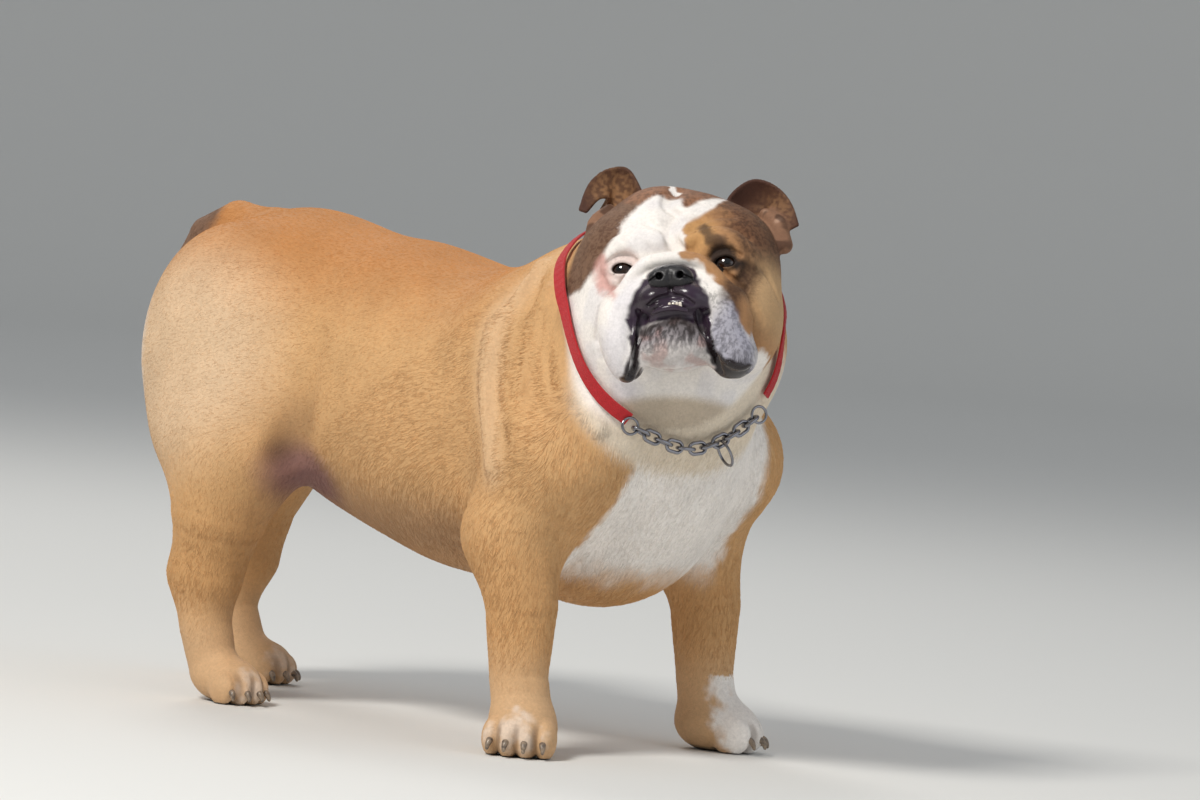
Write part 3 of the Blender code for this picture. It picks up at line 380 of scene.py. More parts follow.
# %% Masses of the head
def face():
    """Skull, cheeks, muzzle, hanging lips, chin, folds, eye sockets and mouth."""
    clay = Clay()
    clay.add(HEAD.ball((0.0, 0.014, 0.018), (0.067, 0.066, 0.062)), 0.03)
    clay.add(HEAD.ball((-0.02, 0.012, 0.06), (0.026, 0.034, 0.0205)), 0.02)
    for i in (-1, 1):
        clay.add(HEAD.ball((i * 0.047, -0.004, -0.026), (0.031, 0.043, 0.047)), 0.022)
        clay.add(HEAD.ball((i * 0.044, 0.0, 0.025 - i * 0.002), (0.028, 0.042, 0.031)), 0.02)
        clay.add(HEAD.ball((i * 0.029, -0.038, 0.018), (0.022, 0.014, 0.014)), 0.015)
    clay.add(HEAD.ball((0.001, -0.0455, -0.026), (0.042, 0.034, 0.028)), 0.015)
    clay.add(HEAD.ball((0.001, -0.062, -0.036), (0.029, 0.022, 0.018)), 0.008)
    clay.add(HEAD.ball((0.001, -0.058, -0.064), (0.0285, 0.023, 0.02)), 0.007)
    for i in (-1, 1):
        lean = turned("Y", i * 9)
        clay.add(HEAD.ball((i * 0.03, -0.054, -0.034), (0.021, 0.022, 0.019)), 0.01)
        clay.add(HEAD.ball((i * 0.0415, -0.047, -0.0545), (0.018, 0.028, 0.037), lean), 0.009)
    clay.add(HEAD.ball((0.047, -0.05, -0.077), (0.015, 0.02, 0.013), turned("Y", -14)), 0.014)
    # fold that arches over the nose and runs down on to each lip
    clay.add(HEAD.rope(NOSE_FOLD, [0.004, 0.0055, 0.006, 0.006, 0.006, 0.0055, 0.004]), 0.004)
    over = [(x * 1.15, y + 0.008, z + 0.0095) for x, y, z in NOSE_FOLD]
    clay.crease(HEAD.at(over), 0.0026, 0.0005, 0.005)
    # furrow of the forehead, folds over and below the eyes, gap beside the chin
    furrow = [(0.002, -0.058, 0.016), (-0.004, -0.055, 0.036), (-0.004, -0.044, 0.056), (0, -0.02, 0.07)]
    clay.crease(HEAD.at(furrow), 0.0026, 0.0002, 0.009)
    for i in (-1, 1):
        brow = [
            (i * 0.012, -0.058, 0.02), (i * 0.028, -0.058, 0.024), (i * 0.044, -0.05, 0.018),
            (i * 0.056, -0.036, 0.006),
        ]
        clay.roll(HEAD.at(brow), 0.0065, 0.002, 0.008)
        below = [
            (i * 0.03, -0.06, -0.009), (i * 0.043, -0.056, -0.021), (i * 0.057, -0.046, -0.04),
            (i * 0.063, -0.034, -0.062), (i * 0.062, -0.026, -0.082),
        ]
        clay.crease(HEAD.at(below), 0.003, 0.0008, 0.006)
        beside = [
            (i * 0.0235, -0.08, -0.05), (i * 0.0265, -0.078, -0.064), (i * 0.029, -0.07, -0.08),
            (i * 0.031, -0.056, -0.092),
        ]
        clay.crease(HEAD.at(beside), 0.0026, 0.0015, 0.003)
    mouth = [
        (-0.024, -0.083, -0.05), (-0.013, -0.087, -0.0425), (0.001, -0.0885, -0.0405),
        (0.014, -0.087, -0.0435), (0.026, -0.083, -0.051),
    ]
    clay.crease(HEAD.at(mouth), 0.0021, 0.001, 0.002)
    clay.crease(HEAD.at([(0.001, -0.09, -0.026), (0, -0.089, -0.04)]), 0.001, 0.0, 0.003)
    for i in (-1, 1):
        eye = (i * EYE_SPACING / 2, EYE_DEPTH, 0)
        clay.add(HEAD.ball(eye, EYE_RADIUS + 0.0032), 0.006)
        clay.carve(HEAD.ball((eye[0], eye[1] - 0.012, -0.0005), (0.008, 0.007, 0.0048)), 0.002)
    return clay


print(len(face().steps), "shapes in the face")


# %% Ears
def ear(side):
    """Rose ear: a cupped flap that rises, folds over and ends in a point, over a rolled burr."""
    clay = Clay()
    if side == "right":
        hand = -1
        spine = [
            (-0.044, 0.018, 0.056), (-0.047, 0.019, 0.076), (-0.053, 0.014, 0.0925),
            (-0.0665, 0.006, 0.0845),
        ]
        spine += [(-0.075, 0.0, 0.068)]
        across = [
            (-0.85, 0.3, -0.45), (-0.85, 0.3, -0.45), (-0.5, 0.2, -0.86), (0.65, 0.1, -0.7),
            (0.9, 0, -0.4),
        ]
        burr = [(-0.066, 0.004, 0.038), (-0.0655, 0.002, 0.056), (-0.056, 0.01, 0.07)]
    else:
        hand = 1
        spine = [(0.05, 0.018, 0.046), (0.054, 0.019, 0.064), (0.0665, 0.014, 0.0735), (0.08, 0.006, 0.061)]
        spine += [(0.088, 0.0, 0.0435)]
        across = [
            (0.85, 0.3, -0.5), (0.82, 0.3, -0.57), (0.35, 0.2, -0.93), (-0.5, 0.1, -0.86),
            (-0.9, 0, -0.4),
        ]
        burr = [(0.079, 0.004, 0.03), (0.0745, 0.002, 0.046), (0.065, 0.01, 0.058)]
    widths = [0.044, 0.041, 0.029, 0.013, 0.0045]
    curl = [-hand * bend for bend in (0.009, 0.008, 0.005, 0.001, 0)]
    clay.add(HEAD.sheet(spine, across, widths, curl, EAR_WALL + 0.0008))
    clay.add(HEAD.rope(burr, [0.0075, 0.0075, 0.0055]), 0.004)
    root = (spine[0][0], 0.024, spine[0][2] + 0.004)
    clay.add(HEAD.ball(root, (0.018, 0.014, 0.019)), 0.006)
    return clay


print(len(ear("left").steps), "shapes in an ear")


# %% Nose and tail
def nose():
    """Nose leather with two open nostrils."""
    clay = Clay()
    x, y, z = NOSE_SPOT
    clay.add(HEAD.ball((x, y + 0.004, z), (0.016, 0.0095, 0.0092)))
    for i in (-1, 1):
        clay.add(HEAD.ball((x + i * 0.0088, y + 0.001, z - 0.0015), (0.0082, 0.0075, 0.0082)), 0.004)
    clay.add(HEAD.ball((x, y + 0.004, z + 0.0045), (0.012, 0.008, 0.0055)), 0.004)
    for i in (-1, 1):
        hole = [(x + i * 0.0076, y - 0.007, z - 0.0012), (x + i * 0.0092, y + 0.001, z + 0.001)]
        clay.carve(HEAD.limb(hole, [0.0028, 0.0022]), 0.0015)
        clay.carve(
            HEAD.limb(
                [(x + i * 0.011, y - 0.006, z - 0.002), (x + i * 0.0165, y + 0.001, z - 0.003)],
                0.0014,
            ),
            0.001,
        )
    clay.carve(HEAD.limb([(x, y - 0.007, z + 0.002), (x, y - 0.004, z - 0.012)], 0.0012), 0.002)
    return clay


def tail():
    clay = Clay()
    stub = [(0, 0.432, 0.366), (0, 0.462, 0.376), (-0.006, 0.49, 0.366), (-0.01, 0.503, 0.35)]
    clay.add(BODY.limb(stub, [0.028, 0.0225, 0.0175, 0.012]), 0.02)
    return clay

# %% [markdown]
# ## The face close up
# What makes the face is not its bulk but its edges: lids round the eyes, the dark rolled rim of the
# lips, the everted lip of the left flew, and wrinkles where loose skin is pushed up. Each is a thin rope
# laid on the masses and blended in, or a groove carved from them. Texture alone could hint at them, but
# only real relief catches light and casts the right shadow from every side.

# %% Finer forms of the head
def fine_face(clay):
    for side, i in SIDES.items():

        def lid(places, far=0.0132):
            """Places round an eye, given as outward and upward, on a ball a little larger than it."""
            deep = [EYE_DEPTH - math.sqrt(far**2 - u * u - w * w) for u, w in places]
            return [(i * (EYE_SPACING / 2 + u), y, w) for (u, w), y in zip(places, deep)]

        brow = [(-0.018, 0.004), (-0.01, 0.0125), (0.001, 0.015), (0.012, 0.0105), (0.019, 0.002)]
        clay.roll(HEAD.at(lid(brow, 0.024)), [0.003, 0.0048, 0.0052, 0.0046, 0.003], 0.0012, 0.007)
        bag = [(-0.012, -0.0085), (-0.002, -0.0125), (0.009, -0.012), (0.015, -0.007)]
        clay.roll(HEAD.at(lid(bag, 0.021)), [0.0018, 0.0026, 0.0026, 0.0016], 0.001, 0.004)
        clay.carve(
            HEAD.ball((i * EYE_SPACING / 2, EYE_DEPTH - 0.013, -0.0004), (0.0078, 0.0075, 0.0046)),
            0.001,
        )
        top = [(-0.0098, -0.0006), (-0.0055, 0.0036), (0.0005, 0.0054), (0.006, 0.0042), (0.01, 0.0)]
        clay.add(HEAD.rope(lid(top), [0.0011, 0.0018, 0.0021, 0.002, 0.0013]), 0.0012)
        low = [(-0.0098, -0.0006), (-0.005, -0.0045), (0.001, -0.0057), (0.006, -0.0046), (0.01, 0.0)]
        clay.add(HEAD.rope(lid(low), [0.001, 0.0013, 0.0014, 0.0013, 0.001]), 0.0012)
        above = [(-0.011, 0.005), (-0.004, 0.0096), (0.004, 0.0096), (0.0125, 0.004)]
        below = [(-0.01, -0.0068), (-0.002, -0.0088), (0.006, -0.0084), (0.012, -0.005)]
        for arc, depth in ((above, 0.0009), (below, 0.0006)):
            clay.crease(HEAD.at(lid(arc, 0.017)), 0.0009, depth, 0.002)
    over = [(x * 1.14, y + 0.006, z + 0.0088) for x, y, z in NOSE_FOLD]
    clay.crease(HEAD.at(over), 0.002, 0.0016, 0.003)
    for i in (-1, 1):
        lean = turned("Y", i * 24)
        clay.add(HEAD.ball((0.001 + i * 0.013, -0.0725, -0.0345), (0.0145, 0.014, 0.011), lean), 0.004)
        below = [
            (i * 0.03, -0.06, -0.01), (i * 0.043, -0.056, -0.022), (i * 0.056, -0.046, -0.04),
            (i * 0.061, -0.034, -0.062),
        ]
        clay.crease(HEAD.at(below), 0.0024, 0.0022, 0.006)
        beside = [(i * 0.0235, -0.08, -0.052), (i * 0.0265, -0.078, -0.064), (i * 0.029, -0.07, -0.08)]
        clay.crease(HEAD.at(beside), 0.0022, 0.0022, 0.003)
    line = [
        (-0.017, -0.083, -0.044), (-0.008, -0.087, -0.0395), (0.001, -0.0885, -0.0385),
        (0.01, -0.087, -0.04),
    ]
    line += [(0.018, -0.083, -0.0455)]
    clay.crease(HEAD.at(line), [0.001, 0.0017, 0.0019, 0.0017, 0.001], 0.0012, 0.0015)
    lower = [
        (-0.013, -0.081, -0.048), (-0.005, -0.0838, -0.0462), (0.004, -0.0842, -0.046),
        (0.013, -0.0815, -0.0482),
    ]
    clay.add(HEAD.rope(lower, [0.002, 0.0031, 0.0031, 0.002]), 0.003)
    clay.add(HEAD.ball((0.001, -0.055, -0.072), (0.03, 0.0215, 0.014)), 0.008)
    left = [(0.027, -0.079, -0.052), (0.032, -0.074, -0.067), (0.039, -0.067, -0.082), (0.05, -0.06, -0.088)]
    left += [(0.06, -0.053, -0.082)]
    clay.roll(HEAD.at(left), [0.0015, 0.0026, 0.0036, 0.004, 0.002], 0.001, 0.003)
    right = [
        (-0.026, -0.079, -0.052), (-0.0295, -0.075, -0.067), (-0.032, -0.069, -0.082),
        (-0.038, -0.06, -0.09),
    ]
    clay.roll(HEAD.at(right), [0.0012, 0.0018, 0.0022, 0.0018], 0.0008, 0.003)
    clay.crease(
        HEAD.at([(0.001, -0.09, -0.026), (0.0008, -0.089, -0.033), (0, -0.088, -0.04)]), 0.001, 0.0006,
        0.0015,
    )
    fork = [(0.003, -0.062, 0.012), (-0.001, -0.059, 0.028), (-0.003, -0.051, 0.045)]
    clay.crease(HEAD.at(fork), 0.0017, 0.001, 0.007)
    clay.crease(
        HEAD.at([(-0.003, -0.051, 0.045), (0.007, -0.046, 0.054), (0.019, -0.037, 0.061)]), 0.0012,
        0.0006, 0.005,
    )
    clay.crease(
        HEAD.at([(-0.003, -0.051, 0.045), (-0.006, -0.042, 0.058), (-0.004, -0.03, 0.067)]), 0.0012,
        0.0006, 0.005,
    )
    wrinkles = [
        [(0.012, -0.058, 0.026), (0.019, -0.054, 0.038), (0.031, -0.047, 0.044), (0.044, -0.038, 0.042)],
        [(-0.02, -0.058, 0.046), (-0.008, -0.06, 0.04), (0.006, -0.06, 0.041), (0.022, -0.056, 0.047)],
        [(0.018, -0.06, 0.03), (0.03, -0.058, 0.037), (0.044, -0.05, 0.034), (0.055, -0.038, 0.022)],
        [(-0.018, -0.06, 0.028), (-0.03, -0.058, 0.034), (-0.043, -0.05, 0.03), (-0.054, -0.038, 0.018)],
        [(0.048, -0.056, -0.018), (0.058, -0.048, -0.03), (0.066, -0.036, -0.046)],
        [(-0.047, -0.055, -0.014), (-0.056, -0.046, -0.03), (-0.062, -0.034, -0.05)],
        [(0.06, -0.04, 0.006), (0.07, -0.028, -0.004), (0.075, -0.016, -0.02)],
    ]
    for line in wrinkles:
        clay.crease(HEAD.at(line), 0.0012, 0.0003, 0.005)
    throat = [(-0.04, -0.03, -0.098), (-0.015, -0.048, -0.106), (0.01, -0.05, -0.107), (0.036, -0.036, -0.1)]
    clay.crease(HEAD.at(throat), 0.0014, 0.0, 0.008)


# %% Finer forms of the body
def fine_body(clay):
    """Soft grooves between the rolls of loose skin, and the hollow in front of the thigh."""
    for line in (
        [
            (-0.0786, 0.089, 0.369), (-0.115, 0.0751, 0.3433), (-0.1322, 0.0664, 0.3087),
            (-0.144, 0.0518, 0.2711), (-0.1585, 0.0248, 0.2349),
        ],
        [
            (-0.0853, 0.0681, 0.3721), (-0.1163, 0.0482, 0.3418), (-0.1305, 0.0375, 0.3114),
            (-0.1423, 0.013, 0.2748),
        ],
        [
            (-0.0778, 0.0505, 0.3855), (-0.1169, 0.0213, 0.3518), (-0.129, 0.0027, 0.3146),
            (-0.1298, -0.0214, 0.2784),
        ],
    ):
        clay.crease(np.array(line), 0.0034, -0.002, 0.012)
    clay.crease(np.array(FLANK_LINE), [0.0085, 0.0065, 0.0045, 0.0025], -0.004, 0.02)


# %% All the clay
def masses(finer=lambda clay: None):
    """All but the ears, with finer forms of the body laid on before the paws and the face."""
    clay = trunk()
    for side in SIDES:
        clay = Clay(clay, fore_leg(side), hind_leg(side))
    clay = Clay(clay, tail())
    skin_folds(clay)
    finer(clay)
    for side in SIDES:
        clay = Clay(clay, paw(*FORE_FEET[side], FORE_SIZE), paw(*HIND_FEET[side], HIND_SIZE))
    return Clay(clay, face())


flesh = masses(fine_body)
fine_face(flesh)
for side in SIDES:
    for sign, shape, blend in ear(side).steps:
        flesh.add(shape, max(blend, 0.003))
flesh.carve(lambda points: points[:, 2])
print(len(flesh.steps), "shapes in the clay")

# %% [markdown]
# ## One skin
# The field becomes a mesh where it changes sign. The grid that finds this place doesn't need to be even:
# its lines run close together across the head and the paws and wider apart along the trunk, so detail
# costs nothing where there is none, and the skin stays one piece with no seam. It lies a little inside
# the solids, by the depth of the coat that will cover it.


# %% Grid lines that are close where detail is
def grid_lines(stops):
    """Lines from (start, step) stops; the last stop gives only the end."""
    lines = []
    for (start, step), (end, _) in zip(stops[:-1], stops[1:]):
        count = max(1, round((end - start) / step))
        lines.append(start + (end - start) * np.arange(count) / count)
    return np.concatenate(lines)


def smooth_step(value, low, high):
    t = np.clip((value - low) / (high - low), 0, 1)
    return t * t * (3 - 2 * t)


def coat_depth(points):
    """How far the skin lies inside the solids: deepest on the trunk, least on face, ears and feet."""
    away = np.linalg.norm(points - np.array(SKULL), axis=1)
    long_hair = smooth_step(away, 0.1, 0.15) * smooth_step(points[:, 2], 0.03, 0.07)
    return FACE_DEPTH + (COAT_DEPTH - FACE_DEPTH) * long_hair


def skin_of(clay, lines, depth=coat_depth, block=8):
    """Closed quad skin of the clay on a grid of these lines, by surface nets."""
    count = np.array([len(line) for line in lines])
    at = lambda index: np.stack([line[i] for line, i in zip(lines, index.T)], 1)
    field = np.full(count, FAR)
    corners = np.stack(
        np.meshgrid(*[np.arange(0, n, block) for n in count], indexing="ij"), -1,
    ).reshape(-1, 3)
    ends = np.minimum(corners + block, count)
    low, high = at(corners), at(ends - 1)
    middle, half = (low + high) / 2, np.linalg.norm(high - low, axis=1) / 2
    rough = clay.distance(middle)
    felt = clay.felt(middle, half)
    for number, (start, end, reach, value) in enumerate(zip(corners, ends, half, rough)):
        box = tuple(slice(a, b) for a, b in zip(start, end))
        if value > 1.25 * reach + 0.006:
            continue
        if value < -1.4 * reach - 0.008:
            field[box] = -FAR
            continue
        grid = np.stack(np.meshgrid(*[line[a:b] for line, a, b in zip(lines, start, end)], indexing="ij"), -1)
        spots = grid.reshape(-1, 3)
        field[box] = (clay.only(felt[:, number]).distance(spots) + depth(spots)).reshape(grid.shape[:3])
    inside = field < 0
    offsets = [(i, j, k) for i in (0, 1) for j in (0, 1) for k in (0, 1)]
    nx, ny, nz = count - 1
    full = sum(inside[i : nx + i, j : ny + j, k : nz + k].astype(np.int8) for i, j, k in offsets)
    cells = np.argwhere((full > 0) & (full < 8))
    index = np.full((nx, ny, nz), -1)
    index[tuple(cells.T)] = np.arange(len(cells))
    value = {o: field[tuple((cells + o).T)] for o in offsets}
    total, crossings = np.zeros((len(cells), 3)), np.zeros(len(cells))
    for near in offsets:
        for axis in range(3):
            if near[axis]:
                continue
            a, b = value[near], value[tuple(near[i] + (i == axis) for i in range(3))]
            crosses = (a < 0) != (b < 0)
            part = np.where(crosses, a / np.where(crosses, a - b, 1), 0)
            spot = np.array(near, float) + part[:, None] * np.eye(3)[axis]
            total += np.where(crosses[:, None], spot, 0)
            crossings += crosses
    inner = total / crossings[:, None]
    size = at(cells + 1) - at(cells)
    points = at(cells) + inner * size
    quads = []
    for axis in range(3):
        u, v = np.eye(3, dtype=int)[(axis + 1) % 3], np.eye(3, dtype=int)[(axis + 2) % 3]
        here, there = [slice(1, -1)] * 3, [slice(1, -1)] * 3
        here[axis], there[axis] = slice(0, -1), slice(1, None)
        a, b = inside[tuple(here)], inside[tuple(there)]
        edges = np.argwhere(a != b)
        outward = a[tuple(edges.T)]
        edges = edges + u + v
        quad = np.stack([index[tuple(e.T)] for e in (edges - u - v, edges - v, edges, edges - u)], 1)
        quad[~outward] = quad[~outward][:, ::-1]
        quads.append(quad)
    return points, np.vstack(quads), size.max(1)


# %% Build the skin
head_low, head_high = (np.array(corner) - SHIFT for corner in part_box("head"))
tops = max(float(np.array(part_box("ear_" + side))[1][2]) for side in SIDES)
lines = (
    grid_lines([(head_low[0] - 0.004, 0.0012), (head_high[0] + 0.004, 0.0022), (0.2, 0)]),
    grid_lines([(head_low[1] - 0.006, 0.0012), (0.025, 0.0018), (0.11, 0.0026), (0.56, 0)]),
    grid_lines([(-0.0045, 0.0016), (0.045, 0.0026), (head_low[2] + 0.02, 0.0012), (tops + 0.006, 0)]),
)
points, quads, cell = skin_of(flesh, lines)
print("grid", [len(line) for line in lines], "skin points", len(points))


def settle_skin(points, cell):
    """One Newton step on to the exact level, held back where it would jump a cell."""

    def work(clay, spots):
        base = clay.distance(spots)
        slope = np.stack([clay.distance(spots + np.eye(3)[i] * 4e-4) - base for i in range(3)], 1) / 4e-4
        return -slope * ((base + coat_depth(spots)) / np.maximum((slope**2).sum(1), 0.25))[:, None]

    step = flesh.by_cells(points, work)
    far = np.linalg.norm(step, axis=1) > cell * 0.8
    step[far] = 0
    return points + step


points = settle_skin(points, cell)
corner = points[quads]
face_normal = np.cross(corner[:, 2] - corner[:, 0], corner[:, 3] - corner[:, 1])
face_area = np.linalg.norm(face_normal, axis=1) / 2
face_normal /= np.maximum(2 * face_area, 1e-12)[:, None]
vertex_normal = np.zeros_like(points)
for column in range(4):
    np.add.at(vertex_normal, quads[:, column], face_normal * face_area[:, None])
vertex_normal /= np.maximum(np.linalg.norm(vertex_normal, axis=1), 1e-12)[:, None]
print("skin", len(quads), "quads,", round(float(face_area.sum()), 3), "square metres")

# %% [markdown]
# ## Markings
# The coat is fawn with a darker back and paler thighs, the chest, throat and most of the face are
# white, and the left side of the face wears a brown patch that is nearly black round the eye. Markings
# belong to the animal and not to a picture, so they are worked out from places on the body: soft masks
# in the frame of the head or of the trunk, with ragged edges from a little noise. Some masks carry
# painted light as well: painted shade under the belly and the chin, at the groin, in the hollow before
# the thigh, in a fold below the left eye, on the left flew and between the toes, and painted highlights
# on a shoulder roll and on the ear burrs. The same function colours the skin and every hair that grows
# from it.


# %% Noise and soft masks
def grain(points, size, seed=0):
    """Smooth value noise from 0 to 1."""
    spots = points / size + seed * 19.19
    cell = np.floor(spots).astype(np.int64)
    part = spots - cell
    part = part * part * (3 - 2 * part)
    total = np.zeros(len(points))
    for corner in ((i, j, k) for i in (0, 1) for j in (0, 1) for k in (0, 1)):
        code = (cell + corner) @ np.array([73856093, 19349663, 83492791])
        code = (code * 2654435761) & 0xFFFFFFFF
        code = ((code ^ (code >> 15)) * 2246822519) & 0xFFFFFFFF
        weight = np.prod([part[:, i] if corner[i] else 1 - part[:, i] for i in range(3)], axis=0)
        total += weight * ((code ^ (code >> 13)) & 0xFFFF) / 65535
    return total


def spot_mask(points, centre, radii, edge=0.3):
    """1 in the middle of a ball and 0 outside, soft over this share of its radius."""
    away = np.linalg.norm((points - np.array(centre)) / np.array(radii), axis=1)
    return 1 - smooth_step(away, 1 - edge, 1 + edge)


def band_mask(points, line, width, edge=0.5):
    """1 along a line of points and 0 away from it."""
    away = BODY.limb(line, 0.0)(points)
    return 1 - smooth_step(away, width * (1 - edge), width * (1 + edge))


def outline_mask(flat, outline, edge=0.002):
    """1 inside a closed outline in a plane, 0 outside, soft over this distance."""
    ring = np.array(outline, float)
    inside = np.zeros(len(flat), bool)
    best = np.full(len(flat), FAR)
    for a, b in zip(ring, np.roll(ring, -1, axis=0)):
        along = np.clip((flat - a) @ (b - a) / max((b - a) @ (b - a), 1e-12), 0, 1)
        best = np.minimum(best, np.linalg.norm(flat - a - along[:, None] * (b - a), axis=1))
        crossing = (a[1] > flat[:, 1]) != (b[1] > flat[:, 1])
        reach = a[0] + (flat[:, 1] - a[1]) * (b[0] - a[0]) / (b[1] - a[1] if b[1] != a[1] else 1e-12)
        inside ^= crossing & (flat[:, 0] < reach)
    return smooth_step(np.where(inside, best, -best), -edge, edge)


def stroke_mask(flat, line, widths, edge=0.0015):
    """1 within the given half widths of a line in a plane."""
    best = np.full(len(flat), -FAR)
    widths = np.array(widths, float) * np.ones(len(line))
    line = np.array(line, float)
    for a, b, wa, wb in zip(line[:-1], line[1:], widths[:-1], widths[1:]):
        along = np.clip((flat - a) @ (b - a) / ((b - a) @ (b - a)), 0, 1)
        away = np.linalg.norm(flat - a - along[:, None] * (b - a), axis=1)
        best = np.maximum(best, wa + along * (wb - wa) - away)
    return smooth_step(best, -edge, edge)


def srgb(red, green, blue):
    """Screen values from 0 to 255 as a linear colour."""
    value = np.array((red, green, blue), float) / 255
    return np.where(value <= 0.04045, value / 12.92, ((value + 0.055) / 1.055) ** 2.4)


FAWN, SADDLE, PALE = srgb(208, 164, 114), srgb(190, 128, 72), srgb(224, 196, 164)
# the first colour is painted shade under the belly; the second is pink skin with painted shade at the groin
BELLY_SHADE, GROIN_SKIN_AND_SHADE, TAN = srgb(160, 130, 108), srgb(134, 96, 98), srgb(198, 150, 98)
# painted shade for the hollow in front of the thigh
HOLLOW_SHADE = srgb(70, 46, 42)
WHITE, LILAC, CREAM = srgb(246, 240, 234), srgb(222, 218, 224), srgb(232, 218, 198)
PATCH, BROWN, TICKED = srgb(180, 134, 92), srgb(84, 54, 38), srgb(122, 92, 72)
BLACKISH, LIP, CHIN = srgb(30, 22, 22), srgb(52, 38, 54), srgb(150, 142, 148)
# the second colour is a painted highlight on the burr
EAR_BROWN, EAR_PINK_HIGHLIGHT, RIM_PINK = srgb(76, 46, 34), srgb(206, 170, 146), srgb(212, 156, 146)
STUB, PAD = srgb(104, 84, 74), srgb(60, 52, 50)
BURR = srgb(146, 108, 84)
# the first colour is painted shade under the chin
UNDER_CHIN_SHADE, SHADE, GOLD = srgb(186, 166, 138), srgb(228, 224, 226), srgb(202, 154, 98)
# the last colour is the grey hair of the left flew together with painted shade
CROWN_BROWN, CHEEK_TAN, FLEW_GREY_AND_SHADE = srgb(148, 106, 80), srgb(208, 172, 128), srgb(138, 138, 160)

# outlines of the face markings, seen from ahead of the skull: across, up
PATCH_AREA = [(0.037, 0.061), (0.031, 0.05), (0.02, 0.041), (0.011, 0.035), (0.007, 0.027), (0.01, 0.016)]
PATCH_AREA += [(0.008, 0.001), (0.012, -0.003), (0.022, -0.007), (0.031, -0.014), (0.04, -0.028)]
PATCH_AREA += [
    (0.048, -0.046), (0.053, -0.056), (0.059, -0.063), (0.075, -0.062), (0.13, -0.04), (0.13, 0.09),
    (0.05, 0.09),
]
FRINGE = [
    (-0.021, 0.067), (-0.027, 0.058), (-0.035, 0.047), (-0.041, 0.0365), (-0.045, 0.023),
    (-0.052, 0.0145),
]
FRINGE += [(-0.058, 0.007), (-0.066, 0.003), (-0.074, -0.006), (-0.12, 0.004), (-0.12, 0.11), (-0.02, 0.11)]
CROWN = [
    (-0.027, 0.058), (-0.0186, 0.063), (-0.008, 0.0656), (0.0017, 0.0606), (0.0102, 0.0493),
    (0.0188, 0.0585),
]
CROWN += [(0.032, 0.064), (0.06, 0.066), (0.06, 0.12), (-0.04, 0.12), (-0.04, 0.062)]
# line of a painted highlight along the top of the roll behind the shoulder
RIDGE_HIGHLIGHT_LINE = [
    (-0.0757, 0.0719, 0.3784), (-0.1015, 0.0727, 0.3556), (-0.1215, 0.0775, 0.3235),
    (-0.1407, 0.0618, 0.2702),
]
RIDGE_HIGHLIGHT_LINE += [(-0.1561, 0.0382, 0.2182)]
STRIPE = [(-0.0065, 0.081), (-0.004, 0.0745), (0.001, 0.069)]
# line of painted shade along the fold below the left eye
FOLD_SHADE_LINE = [(0.0568, -0.0047), (0.0493, -0.0245), (0.0453, -0.0373), (0.0496, -0.0497)]
EYE_MASK = [(0.027, 0.005), (0.03, 0.011), (0.04, 0.011), (0.049, 0.005), (0.056, 0.0), (0.049, -0.007)]
EYE_MASK += [(0.04, -0.009), (0.029, -0.005)]
BROW_SPOT = [(0.0234, 0.0281), (0.0282, 0.0195), (0.035, 0.013)]
RIGHT_RIM = [(-0.056, 0.008), (-0.054, -0.006), (-0.048, -0.019), (-0.042, -0.027)]
RIGHT_FLEW = [
    (-0.02, -0.012), (-0.034, -0.02), (-0.046, -0.04), (-0.056, -0.07), (-0.05, -0.09),
    (-0.036, -0.09), (-0.032, -0.05),
]
LEFT_FLEW = [
    (0.026, -0.024), (0.036, -0.032), (0.05, -0.05), (0.062, -0.07), (0.062, -0.1), (0.034, -0.092),
    (0.028, -0.055),
]
CHIN_AREA = [
    (-0.027, -0.054), (-0.029, -0.07), (-0.022, -0.0785), (-0.0055, -0.086), (0.0135, -0.085),
    (0.03, -0.086), (0.026, -0.062), (0.022, -0.05),
]
UPPER_LIP = [(-0.0215, -0.018), (-0.0267, -0.0285), (-0.0319, -0.0402), (-0.0337, -0.0517), (-0.03, -0.056)]
UPPER_LIP += [
    (-0.0235, -0.0535), (-0.0151, -0.0515), (-0.0039, -0.0525), (0.0088, -0.0535), (0.0185, -0.0555),
    (0.0265, -0.058),
]
UPPER_LIP += [
    (0.028, -0.05), (0.0288, -0.0419), (0.027, -0.0326), (0.023, -0.022), (0.017, -0.017),
    (-0.015, -0.017),
]
RIGHT_LIP = [
    (-0.0318, -0.05), (-0.03, -0.0612), (-0.029, -0.0692), (-0.03, -0.0796), (-0.035, -0.0885),
    (-0.045, -0.0905),
]
LEFT_LIP = [
    (0.025, -0.0545), (0.0265, -0.0649), (0.0305, -0.0757), (0.035, -0.085), (0.04, -0.0915),
    (0.048, -0.093), (0.057, -0.089),
]
NOSE_EDGE = [
    (-0.0185, -0.018), (-0.015, -0.01), (0.001, -0.0075), (0.0165, -0.0105), (0.0205, -0.018),
    (0.02, -0.03), (-0.018, -0.03),
]


# %% Colours of the body and the paws
def blended(colour, other, mask):
    return colour + (other - colour) * mask[:, None]


